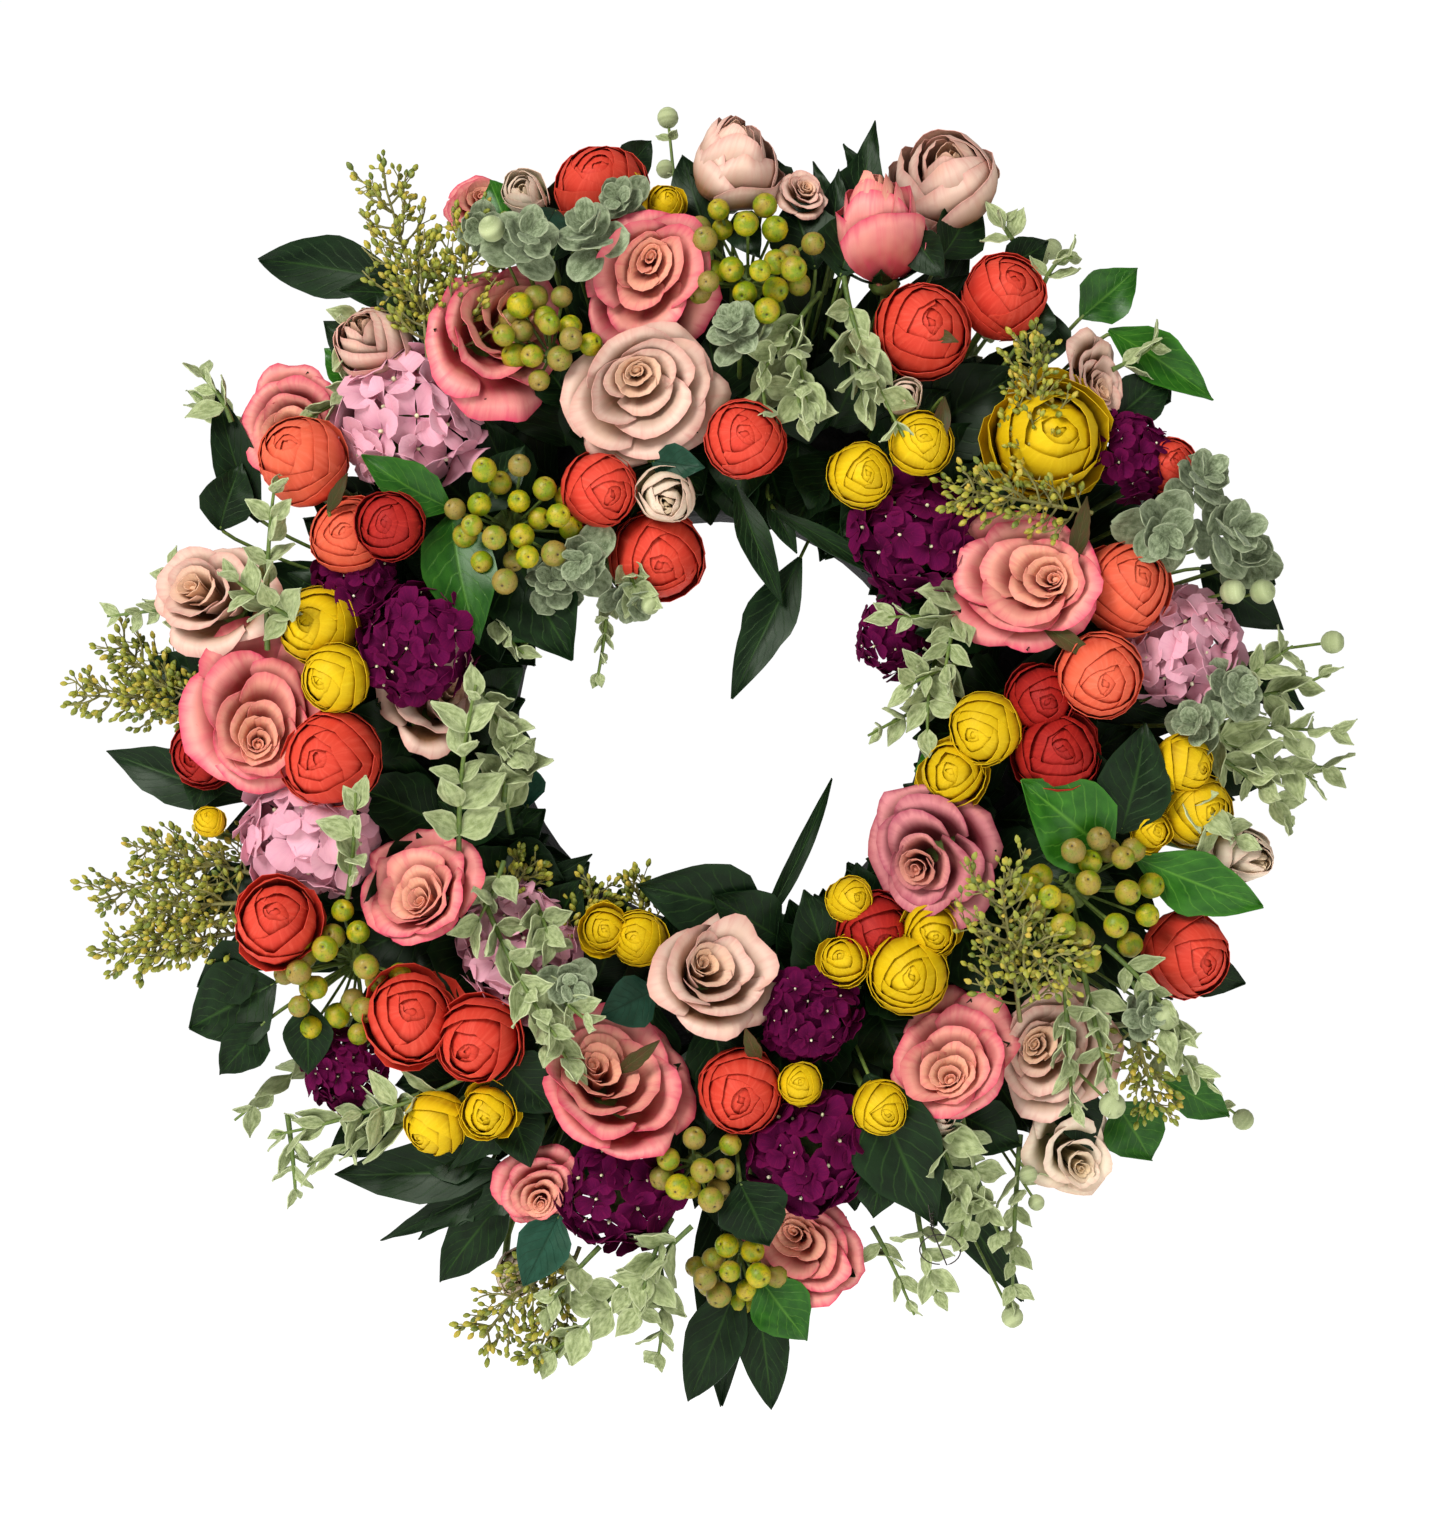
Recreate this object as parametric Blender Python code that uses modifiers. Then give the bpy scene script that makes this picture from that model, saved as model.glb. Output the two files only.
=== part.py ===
"""Artificial flower wreath: a foam ring planted with silk flower picks, hung from a hinged wire loop.

World frame, in metres: +Z up, +X to the right of somebody looking at the flowers, which face -Y.
The wreath hangs on a wall. The origin is where the nail carries the top of the hanging loop,
and the ring's flat back is in a plane just in front of it.
"""

import math

import bmesh
import bpy
from mathutils import Matrix, Vector

MM = 0.001

# Foam ring, a half-round section with its flat side to the wall.
RING_MIDDLE = 140 * MM
RING_HALF_WIDTH = 35 * MM
RING_DEPTH = 45 * MM
RING_STEPS = 48
SECTION_STEPS = 8
RING_DROP = 165 * MM
RING_BACK_Y = -1.5 * MM

# Hanging loop: round wire bent to a triangle, turning in two staples.
LOOP_WIRE = 1.8 * MM
LOOP_BAR = 30 * MM
LOOP_HEIGHT = 37 * MM
LOOP_TOP_RADIUS = 7 * MM
STAPLE_APART = 14 * MM
STAPLE_WIRE = 1.2 * MM
STAPLE_INSIDE = 2.6 * MM
STAPLE_BITE = 12 * MM
GAP = 0.3 * MM

# The bundle of flowers bulges around the ring: how far forward a head stands, by its distance
# from the wreath's centre.
BUNDLE_BASE = 25 * MM
BUNDLE_RISE = 70 * MM
BUNDLE_OUTWARD = 155 * MM
BUNDLE_INWARD = 78 * MM

STEM_RADIUS = 2.2 * MM
TURN_STEPS = 10
LEAF_THICKNESS = 1.6 * MM
BERRY_RADIUS = 6 * MM
# A planted head fills this part of the width of its open petals; the rest is soft edge.
HEAD_FILL = 0.8

PINK_ROSE = "pink_rose"
BLUSH_ROSE = "blush_rose"
ROSE_BUD = "rose_bud"
CORAL = "coral_ranunculus"
YELLOW = "yellow_ranunculus"
PINK_HYDRANGEA = "pink_hydrangea"
PURPLE_HYDRANGEA = "purple_hydrangea"
BERRIES = "berry_cluster"
SPRAY = "filler_spray"
SAGE = "sage_sprig"
LEAF = "dark_leaf"

# Flower picks: kind, millimetres right of the ring's centre, above it, half the open width,
# and extra millimetres forward where heads crowd.
HEADS = (
    (PINK_ROSE, -110, 186, 36, 0),
    (PINK_ROSE, -32, 213, 34, 0),
    (PINK_ROSE, -227, 6, 34, 0),
    (PINK_ROSE, -145, -79, 32, 0),
    (PINK_ROSE, -50, -179, 38, 0),
    (PINK_ROSE, 147, 66, 36, 0),
    (PINK_ROSE, 107, -64, 32, 0),
    (PINK_ROSE, 112, -164, 33, 0),
    (PINK_ROSE, 45, -264, 28, 0),
    (ROSE_BUD, 82, 233, 26, 0),
    (BLUSH_ROSE, -37, 158, 34, 0),
    (BLUSH_ROSE, -2, -129, 33, 0),
    (BLUSH_ROSE, 165, -161, 30, 0),
    (BLUSH_ROSE, -247, 61, 30, 0),
    (BLUSH_ROSE, 172, -209, 25, 0),
    (BLUSH_ROSE, -145, 8, 28, -20),
    (BLUSH_ROSE, 7, 271, 25, 0),
    (BLUSH_ROSE, 112, 268, 28, 0),
    (CORAL, -60, 266, 22, 0),
    (CORAL, 100, 192, 23, 0),
    (CORAL, 141, 211, 20, 0),
    (CORAL, -205, 128, 21, 12),
    (CORAL, -32, 83, 22, 0),
    (CORAL, -190, -19, 23, 0),
    (CORAL, -217, -99, 20, 10),
    (CORAL, -152, -146, 22, 0),
    (CORAL, 10, -181, 20, 0),
    (CORAL, 165, -16, 20, 0),
    (CORAL, 199, 66, 22, 0),
    (CORAL, 232, -116, 21, 0),
    (YELLOW, -197, 48, 19, 0),
    (YELLOW, 162, 138, 27, 0),
    (YELLOW, 92, -124, 19, 0),
    (YELLOW, 235, -44, 18, 0),
    (PINK_HYDRANGEA, -155, 153, 36, -8),
    (PINK_HYDRANGEA, -207, -56, 36, -18),
    (PINK_HYDRANGEA, 232, 38, 30, -8),
    (PURPLE_HYDRANGEA, -147, 38, 30, 10),
    (PURPLE_HYDRANGEA, 95, 91, 32, -8),
    (PURPLE_HYDRANGEA, -50, -236, 32, 0),
    (PURPLE_HYDRANGEA, 47, -214, 32, 0),
    (BERRIES, -105, 96, 30, 6),
    (BERRIES, 15, 228, 28, 10),
    (BERRIES, -192, -126, 28, -4),
    (BERRIES, 182, -86, 32, 8),
)

# Flat picks fanned out behind the heads: kind, where it lies, the tip's millimetres right of the
# ring's centre and above it, the width across, and how far the tip leans forward.
FLATS = (
    (SPRAY, "left_upper", -328, 14, 44, 14),
    (SPRAY, "left_lower", -316, -90, 44, 14),
    (SAGE, "top_stalk", -27, 312, 18, 6),
    (SAGE, "upper_right", 170, 243, 30, 10),
    (SAGE, "right", 324, -24, 62, 18),
    (SAGE, "lower_right", 268, -203, 40, 14),
    (SAGE, "lower_left", -252, -206, 44, 14),
    (SAGE, "upper_left", -274, 172, 34, 10),
    (LEAF, "upper_left", -234, 236, 30, 8),
    (LEAF, "lower_right", 145, -297, 24, 6),
    (LEAF, "bottom", 2, -345, 34, 10),
)

COLOURS = {
    PINK_ROSE: (0.86, 0.36, 0.42),
    BLUSH_ROSE: (0.87, 0.66, 0.60),
    ROSE_BUD: (0.87, 0.45, 0.50),
    CORAL: (0.87, 0.17, 0.10),
    YELLOW: (0.83, 0.70, 0.06),
    PINK_HYDRANGEA: (0.82, 0.55, 0.68),
    PURPLE_HYDRANGEA: (0.26, 0.02, 0.20),
    BERRIES: (0.48, 0.50, 0.10),
    SPRAY: (0.44, 0.44, 0.12),
    SAGE: (0.40, 0.50, 0.34),
    LEAF: (0.03, 0.12, 0.06),
}


def clear_scene():
    """Remove every object that the scene starts with."""
    for thing in list(bpy.data.objects):
        bpy.data.objects.remove(thing, do_unlink=True)


def new_collection(name):
    """Make a collection in the scene."""
    made = bpy.data.collections.new(name)
    bpy.context.scene.collection.children.link(made)
    return made


def new_material(name, colour, roughness, metallic=0.0):
    """Make a plain Principled material."""
    material = bpy.data.materials.new(name)
    material.use_nodes = True
    shader = material.node_tree.nodes["Principled BSDF"]
    shader.inputs["Base Color"].default_value = (*colour, 1.0)
    shader.inputs["Roughness"].default_value = roughness
    shader.inputs["Metallic"].default_value = metallic
    return material


def new_object(name, data, material, collection):
    """Wrap a mesh or a curve in an object with its own material."""
    made = bpy.data.objects.new(name, data)
    made.data.materials.append(material)
    collection.objects.link(made)
    return made


def turned(name, profile, steps, material, collection, closed=False):
    """Turn a profile of (radius, height) about local Z. It runs down its outer side."""
    mesh = bpy.data.meshes.new(name)
    shape = bmesh.new()
    points = [shape.verts.new((radius, 0.0, height)) for radius, height in profile]
    for first, second in zip(points, points[1:]):
        shape.edges.new((first, second))
    if closed:
        shape.edges.new((points[-1], points[0]))
    shape.to_mesh(mesh)
    shape.free()
    made = new_object(name, mesh, material, collection)
    screw = made.modifiers.new("turn", "SCREW")
    screw.axis = "Z"
    screw.steps = steps
    screw.render_steps = steps
    screw.use_smooth_shade = True
    screw.use_merge_vertices = True
    screw.merge_threshold = 0.00001
    return made


def wire(name, points, thickness, material, collection, cyclic=False):
    """Bend round wire through the points."""
    curve = bpy.data.curves.new(name, "CURVE")
    curve.dimensions = "3D"
    curve.bevel_depth = thickness / 2
    curve.bevel_resolution = 2
    curve.use_fill_caps = not cyclic
    spline = curve.splines.new("POLY")
    spline.points.add(len(points) - 1)
    for place, point in zip(spline.points, points):
        place.co = (*point, 1.0)
    spline.use_cyclic_u = cyclic
    return new_object(name, curve, material, collection)


def arc(centre, radius, start_deg, end_deg, steps):
    """Points on an arc in a plane, ends included."""
    points = []
    for step in range(steps + 1):
        angle = math.radians(start_deg + (end_deg - start_deg) * step / steps)
        points.append((centre[0] + radius * math.cos(angle), centre[1] + radius * math.sin(angle)))
    return points


def ring_point(clock, radius, y):
    """A point by its angle about the wreath's centre, from +X towards +Z."""
    return Vector((radius * math.cos(clock), y, radius * math.sin(clock) - RING_DROP))


def foam_ring(parts, cutters):
    """The half-round foam ring, with a slot in its back for each leg of the staples."""
    section = []
    for step in range(SECTION_STEPS + 1):
        angle = math.pi * (1 - step / SECTION_STEPS)
        across = RING_MIDDLE + RING_HALF_WIDTH * math.cos(angle)
        section.append((across, RING_DEPTH * math.sin(angle)))
    material = new_material("foam", (0.02, 0.02, 0.02), 0.9)
    ring = turned("foam_ring", section, RING_STEPS, material, parts, closed=True)
    # Local +Z, the ring's axis, points at -Y, out through the flowers.
    ring.rotation_euler = (math.radians(90), 0, 0)
    ring.location = (0, RING_BACK_Y, -RING_DROP)
    for side in (-1, 1):
        for leg in (-1, 1):
            cut_leg_slot(ring, side, leg, cutters)


def cut_leg_slot(ring, side, leg, cutters):
    """Cut the slot that one leg of a staple sits in."""
    bpy.ops.mesh.primitive_cube_add(size=1.0)
    cutter = bpy.context.object
    cutter.name = f"leg_slot_{'left' if side < 0 else 'right'}_{'below' if leg < 0 else 'above'}"
    width = STAPLE_WIRE + 2 * GAP
    depth = STAPLE_BITE + 2 * GAP
    cutter.scale = (width, depth, width)
    leg_z = LOOP_BAR_Z + leg * (STAPLE_INSIDE + STAPLE_WIRE) / 2
    # Half of the cutter's extra depth stands out of the ring's back.
    cutter.location = (side * STAPLE_APART / 2, RING_BACK_Y - depth / 2 + GAP, leg_z)
    cutter.hide_render = True
    cutter.display_type = "WIRE"
    for owner in list(cutter.users_collection):
        owner.objects.unlink(cutter)
    cutters.objects.link(cutter)
    cut = ring.modifiers.new(cutter.name, "BOOLEAN")
    cut.operation = "DIFFERENCE"
    cut.solver = "EXACT"
    cut.object = cutter


# The bar of the loop turns here, below the nail by the height of the loop.
LOOP_BAR_Z = LOOP_WIRE / 2 - LOOP_HEIGHT


def hanging_loop(parts):
    """The closed wire triangle, with its origin on the bar, which is the hinge's axis."""
    top_z = LOOP_HEIGHT - LOOP_TOP_RADIUS
    corner = 2 * LOOP_WIRE
    outline = [(-LOOP_BAR / 2 + corner, 0.0), (0.0, 0.0), (LOOP_BAR / 2 - corner, 0.0)]
    outline += arc((LOOP_BAR / 2 - corner, corner), corner, -60, 10, 3)
    outline += arc((0.0, top_z), LOOP_TOP_RADIUS, 15, 165, 8)
    outline += arc((corner - LOOP_BAR / 2, corner), corner, 170, 240, 3)
    material = new_material("hanger_wire", (0.55, 0.55, 0.56), 0.35, 1.0)
    points = [(x, 0.0, z) for x, z in outline]
    loop = wire("hanging_loop", points, LOOP_WIRE, material, parts, cyclic=True)
    loop.location = (0, 0, LOOP_BAR_Z)


def staples(parts):
    """Two staples over the loop's bar, their legs in the foam."""
    material = new_material("staple_wire", (0.5, 0.5, 0.5), 0.4, 1.0)
    leg_z = (STAPLE_INSIDE + STAPLE_WIRE) / 2
    crown_y = (LOOP_WIRE + STAPLE_WIRE) / 2 + GAP
    foot_y = RING_BACK_Y - STAPLE_BITE
    bend = crown_y - STAPLE_WIRE / 2
    # Seen along +X: up one leg, over the crown, down the other.
    path = [(foot_y, -leg_z), (bend, -leg_z), (crown_y, -leg_z + STAPLE_WIRE / 2)]
    path += [(crown_y, leg_z - STAPLE_WIRE / 2), (bend, leg_z), (foot_y, leg_z)]
    points = [(0.0, y, z) for y, z in path]
    for side, name in ((-1, "staple_left"), (1, "staple_right")):
        staple = wire(name, points, STAPLE_WIRE, material, parts)
        staple.location = (side * STAPLE_APART / 2, 0, LOOP_BAR_Z)


def rose_profile(reach, radius):
    """An open rose: a cup with a dip among the petals, a calyx and a stem."""
    return [
        (0.0, reach + 0.30 * radius),
        (0.35 * radius, reach + 0.46 * radius),
        (0.75 * radius, reach + 0.42 * radius),
        (radius, reach + 0.10 * radius),
        (0.90 * radius, reach - 0.30 * radius),
        (0.50 * radius, reach - 0.62 * radius),
        *stem_profile(reach - 0.90 * radius),
    ]


def bud_profile(reach, radius):
    """A closed bud, taller than it is wide."""
    return [
        (0.0, reach + 1.30 * radius),
        (0.38 * radius, reach + 1.10 * radius),
        (0.80 * radius, reach + 0.55 * radius),
        (radius, reach - 0.10 * radius),
        (0.75 * radius, reach - 0.80 * radius),
        (0.35 * radius, reach - 1.10 * radius),
        *stem_profile(reach - 1.25 * radius),
    ]


def ball_profile(reach, radius):
    """A round wrapped head."""
    ball = []
    for step in range(6):
        angle = math.radians(90 - 28 * step)
        ball.append((radius * math.cos(angle), reach + 0.92 * radius * math.sin(angle)))
    ball[0] = (0.0, ball[0][1])
    return [*ball, *stem_profile(reach - 1.05 * radius)]


def dome_profile(reach, radius):
    """A domed head of many florets."""
    return [
        (0.0, reach + 0.55 * radius),
        (0.50 * radius, reach + 0.46 * radius),
        (0.86 * radius, reach + 0.18 * radius),
        (radius, reach - 0.15 * radius),
        (0.80 * radius, reach - 0.38 * radius),
        (0.30 * radius, reach - 0.55 * radius),
        *stem_profile(reach - 0.80 * radius),
    ]


def core_profile(reach, radius):
    """The knot of stalks inside a berry cluster."""
    core = 0.72 * radius
    return [
        (0.0, reach + 0.6 * core),
        (0.6 * core, reach + 0.4 * core),
        (core, reach - 0.1 * core),
        (0.5 * core, reach - 0.6 * core),
        *stem_profile(reach - core),
    ]


def stem_profile(top):
    """The wire stem below a head, thinner at the foot."""
    return [(STEM_RADIUS, top), (0.8 * STEM_RADIUS, 0.0), (0.0, 0.0)]


PROFILES = {
    PINK_ROSE: rose_profile,
    BLUSH_ROSE: rose_profile,
    ROSE_BUD: bud_profile,
    CORAL: ball_profile,
    YELLOW: ball_profile,
    PINK_HYDRANGEA: dome_profile,
    PURPLE_HYDRANGEA: dome_profile,
    BERRIES: core_profile,
}


def head_centre(right, up, forward):
    """Where a head's centre stands, on the bulge of the bundle."""
    from_centre = math.hypot(right, up)
    offset = from_centre - RING_MIDDLE
    span = BUNDLE_OUTWARD if offset > 0 else BUNDLE_INWARD
    lift = math.sqrt(max(0.0, 1 - (offset / span) ** 2))
    y = -BUNDLE_BASE - BUNDLE_RISE * lift - forward
    return ring_point(math.atan2(up, right), from_centre, y)


def foam_surface(clock, towards):
    """Where a stem that aims at a point leaves the foam, a glue gap off its surface."""
    middle = ring_point(clock, RING_MIDDLE, RING_BACK_Y)
    aim = (towards - middle).normalized()
    outward = Vector((math.cos(clock), 0, math.sin(clock)))
    across = aim.dot(outward) / RING_HALF_WIDTH
    ahead = aim.y / RING_DEPTH
    return middle + aim * (1 / math.hypot(across, ahead) + 4 * GAP)


def flower_pick(name, kind, right, up, half_width, forward, parts, cutters, material):
    """A head on its stem, planted in the foam and aimed out of the bundle."""
    centre = head_centre(right * MM, up * MM, forward * MM)
    foot = foam_surface(math.atan2(up, right), centre)
    reach = (centre - foot).length
    radius = half_width * MM * HEAD_FILL
    profile = PROFILES[kind](reach, radius)
    pick = turned(name, profile, TURN_STEPS, material, parts)
    pick.rotation_mode = "QUATERNION"
    pick.rotation_quaternion = (centre - foot).to_track_quat("Z", "Y")
    pick.location = foot
    if kind == BERRIES:
        add_berries(pick, reach, radius, cutters)


def add_berries(pick, reach, radius, helpers):
    """Join a ring of berries and a top berry to the knot of a cluster."""
    places = [(0.0, 0.0, 0.62)]
    for count, spread, height in ((4, 0.52, 0.42), (7, 0.86, -0.05)):
        for number in range(count):
            angle = math.tau * (number + 0.5 * (count % 2)) / count
            places.append((spread * math.cos(angle), spread * math.sin(angle), height))
    for number, (across, along, height) in enumerate(places):
        mesh = bpy.data.meshes.new("berry")
        shape = bmesh.new()
        bmesh.ops.create_uvsphere(shape, u_segments=6, v_segments=4, radius=BERRY_RADIUS)
        shape.to_mesh(mesh)
        shape.free()
        berry = bpy.data.objects.new(f"{pick.name}_berry_{number:02d}", mesh)
        helpers.objects.link(berry)
        berry.parent = pick
        berry.location = (across * radius, along * radius, reach + height * radius)
        berry.hide_render = True
        berry.display_type = "WIRE"
        join = pick.modifiers.new(berry.name, "BOOLEAN")
        join.operation = "UNION"
        join.solver = "EXACT"
        join.object = berry


def leaf_outline(length, width):
    """A pointed leaf on a short stalk, from the foot around the tip and back."""
    stalk = STEM_RADIUS
    upper = [(0.0, stalk), (0.34 * length, stalk)]
    for along, across in ((0.45, 0.36), (0.58, 0.5), (0.74, 0.44), (0.88, 0.24)):
        upper.append((along * length, across * width))
    lower = [(along, -across) for along, across in reversed(upper)]
    return [*upper, (length, 0.0), *lower]


def sprig_outline(length, width, pairs, start):
    """A stem with pairs of small leaves, which get smaller towards the tip."""
    stalk = STEM_RADIUS
    upper = [(0.0, stalk)]
    pitch = length * (1 - start) / pairs
    for number in range(pairs):
        base = length * start + pitch * number
        across = width / 2 * (1 - 0.5 * number / pairs)
        upper.append((base, stalk))
        upper.append((base + 0.30 * pitch, 0.85 * across))
        upper.append((base + 0.75 * pitch, across))
        upper.append((base + 0.85 * pitch, 0.5 * across))
    upper[-1] = (length * 0.97, stalk)
    lower = [(along, -across) for along, across in reversed(upper)]
    return [*upper, (length, 0.0), *lower]


def flat_pick(kind, place, right, up, width, lean, parts, material):
    """A leaf or a leafy sprig, fanned out from the outer edge of the ring."""
    name = f"{kind}_{place}"
    clock = math.atan2(up, right)
    middle_y = RING_BACK_Y - 9 * MM
    foot = ring_point(clock, RING_MIDDLE + RING_HALF_WIDTH + 4 * GAP, middle_y)
    tip = ring_point(clock, math.hypot(right, up) * MM, middle_y - lean * MM)
    length = (tip - foot).length
    if kind == LEAF:
        outline = leaf_outline(length, width * MM)
    elif kind == SPRAY:
        outline = sprig_outline(length, width * MM, 7, 0.3)
    else:
        outline = sprig_outline(length, width * MM, 5, 0.25)
    curve = bpy.data.curves.new(name, "CURVE")
    curve.dimensions = "2D"
    curve.fill_mode = "BOTH"
    curve.extrude = LEAF_THICKNESS / 2
    spline = curve.splines.new("POLY")
    spline.points.add(len(outline) - 1)
    for point, (along, across) in zip(spline.points, outline):
        point.co = (along, across, 0.0, 1.0)
    spline.use_cyclic_u = True
    pick = new_object(name, curve, material, parts)
    # Local X runs from the foot to the tip and local Z is the leaf's face.
    along = (tip - foot).normalized()
    side = Vector((0, -1, 0)).cross(along).normalized()
    face = along.cross(side)
    turn = Matrix((along, side, face)).transposed().to_4x4()
    pick.matrix_world = Matrix.Translation(foot) @ turn


def planted_picks(parts, cutters):
    """Plant every pick, numbering the flowers of each kind."""
    materials = {kind: new_material(kind, colour, 0.7) for kind, colour in COLOURS.items()}
    counts = {kind: 0 for kind in COLOURS}
    for kind, right, up, half_width, forward in HEADS:
        counts[kind] += 1
        name = f"{kind}_{counts[kind]:02d}"
        flower_pick(name, kind, right, up, half_width, forward, parts, cutters, materials[kind])
    for kind, place, right, up, width, lean in FLATS:
        flat_pick(kind, place, right, up, width, lean, parts, materials[kind])


def main():
    """Build the wreath."""
    clear_scene()
    parts = new_collection("flower_wreath")
    cutters = new_collection("cutters")
    foam_ring(parts, cutters)
    hanging_loop(parts)
    staples(parts)
    planted_picks(parts, cutters)


main()
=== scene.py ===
"""Looks of the silk flower wreath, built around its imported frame.

Metres, +Z up. The flowers face -Y, the wall is behind the ring's flat back at +Y, and +X is to the
right of somebody who looks at the flowers. Every flower, sprig and leaf is cut from thin sheets.
"""

from __future__ import annotations

import logging
import math
from dataclasses import dataclass, field, replace
from enum import Enum
from typing import Callable, Iterable, Sequence, Union

import bpy
import numpy as np
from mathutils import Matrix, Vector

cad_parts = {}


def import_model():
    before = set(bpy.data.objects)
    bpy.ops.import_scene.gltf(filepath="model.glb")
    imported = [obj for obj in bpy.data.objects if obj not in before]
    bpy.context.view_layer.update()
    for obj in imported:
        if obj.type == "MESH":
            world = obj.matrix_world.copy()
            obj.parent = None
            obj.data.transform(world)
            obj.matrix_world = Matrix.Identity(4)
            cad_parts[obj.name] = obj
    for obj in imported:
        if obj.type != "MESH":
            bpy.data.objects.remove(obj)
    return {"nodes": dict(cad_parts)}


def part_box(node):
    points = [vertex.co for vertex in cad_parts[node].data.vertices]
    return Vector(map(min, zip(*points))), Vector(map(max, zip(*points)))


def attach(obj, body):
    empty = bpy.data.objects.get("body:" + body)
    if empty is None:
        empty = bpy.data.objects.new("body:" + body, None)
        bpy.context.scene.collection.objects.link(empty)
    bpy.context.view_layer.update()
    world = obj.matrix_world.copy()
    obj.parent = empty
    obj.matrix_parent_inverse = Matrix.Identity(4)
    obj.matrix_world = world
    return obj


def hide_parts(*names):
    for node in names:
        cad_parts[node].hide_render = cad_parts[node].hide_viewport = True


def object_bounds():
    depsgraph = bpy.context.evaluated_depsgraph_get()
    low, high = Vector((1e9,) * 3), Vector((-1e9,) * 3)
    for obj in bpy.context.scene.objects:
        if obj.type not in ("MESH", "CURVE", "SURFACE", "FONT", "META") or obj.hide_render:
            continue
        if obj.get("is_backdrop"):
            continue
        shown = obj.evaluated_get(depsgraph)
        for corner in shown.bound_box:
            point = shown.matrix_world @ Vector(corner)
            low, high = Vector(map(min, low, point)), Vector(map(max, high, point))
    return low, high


LOG = logging.getLogger("wreath")
MM = 0.001
FRONT = np.array((0.0, -1.0, 0.0))
UP = np.array((0.0, 0.0, 1.0))
GOLDEN_TURN = math.pi * (3 - math.sqrt(5))
SILK_THICKNESS = 0.28 * MM
LEAF_THICKNESS = 0.5 * MM
BODY = "wreath"
LOOP_BODY = "loop"
Array = np.ndarray
Value = Union[float, int, tuple, "Wire"]


# ---------------------------------------------------------------------------------------------
# Shader maths
# ---------------------------------------------------------------------------------------------


def shade(code: str) -> tuple[float, float, float, float]:
    """Turn a six-digit screen colour into a linear RGBA colour.

    Args:
        code: Red, green and blue as hexadecimal pairs.

    Returns:
        The linear colour, with alpha 1.
    """
    parts = [int(code[start : start + 2], 16) / 255 for start in (0, 2, 4)]
    linear = [p / 12.92 if p <= 0.04045 else ((p + 0.055) / 1.055) ** 2.4 for p in parts]
    return (linear[0], linear[1], linear[2], 1.0)


class Wire:
    """A node's output, on which sums are written as Python expressions."""

    def __init__(self, graph: Graph, socket: bpy.types.NodeSocket) -> None:
        """Keep the graph and the socket."""
        self.graph = graph
        self.socket = socket

    def __add__(self, other: Value) -> Wire:
        """Add."""
        return self.graph.math("ADD", self, other)

    def __radd__(self, other: Value) -> Wire:
        """Add, from the right."""
        return self.graph.math("ADD", other, self)

    def __sub__(self, other: Value) -> Wire:
        """Subtract."""
        return self.graph.math("SUBTRACT", self, other)

    def __rsub__(self, other: Value) -> Wire:
        """Subtract from a value."""
        return self.graph.math("SUBTRACT", other, self)

    def __mul__(self, other: Value) -> Wire:
        """Multiply."""
        return self.graph.math("MULTIPLY", self, other)

    def __rmul__(self, other: Value) -> Wire:
        """Multiply, from the right."""
        return self.graph.math("MULTIPLY", other, self)

    def __truediv__(self, other: Value) -> Wire:
        """Divide."""
        return self.graph.math("DIVIDE", self, other)

    def __pow__(self, other: Value) -> Wire:
        """Raise to a power."""
        return self.graph.math("POWER", self, other)

    def __abs__(self) -> Wire:
        """Drop the sign."""
        return self.graph.math("ABSOLUTE", self)

    def clamped(self) -> Wire:
        """Keep the value from 0 to 1."""
        return self.graph.node("ShaderNodeClamp", {}, {"Value": self})

    def ramp(self, low: float, high: float) -> Wire:
        """Rise from 0 at low to 1 at high."""
        return ((self - low) / (high - low)).clamped()


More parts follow.
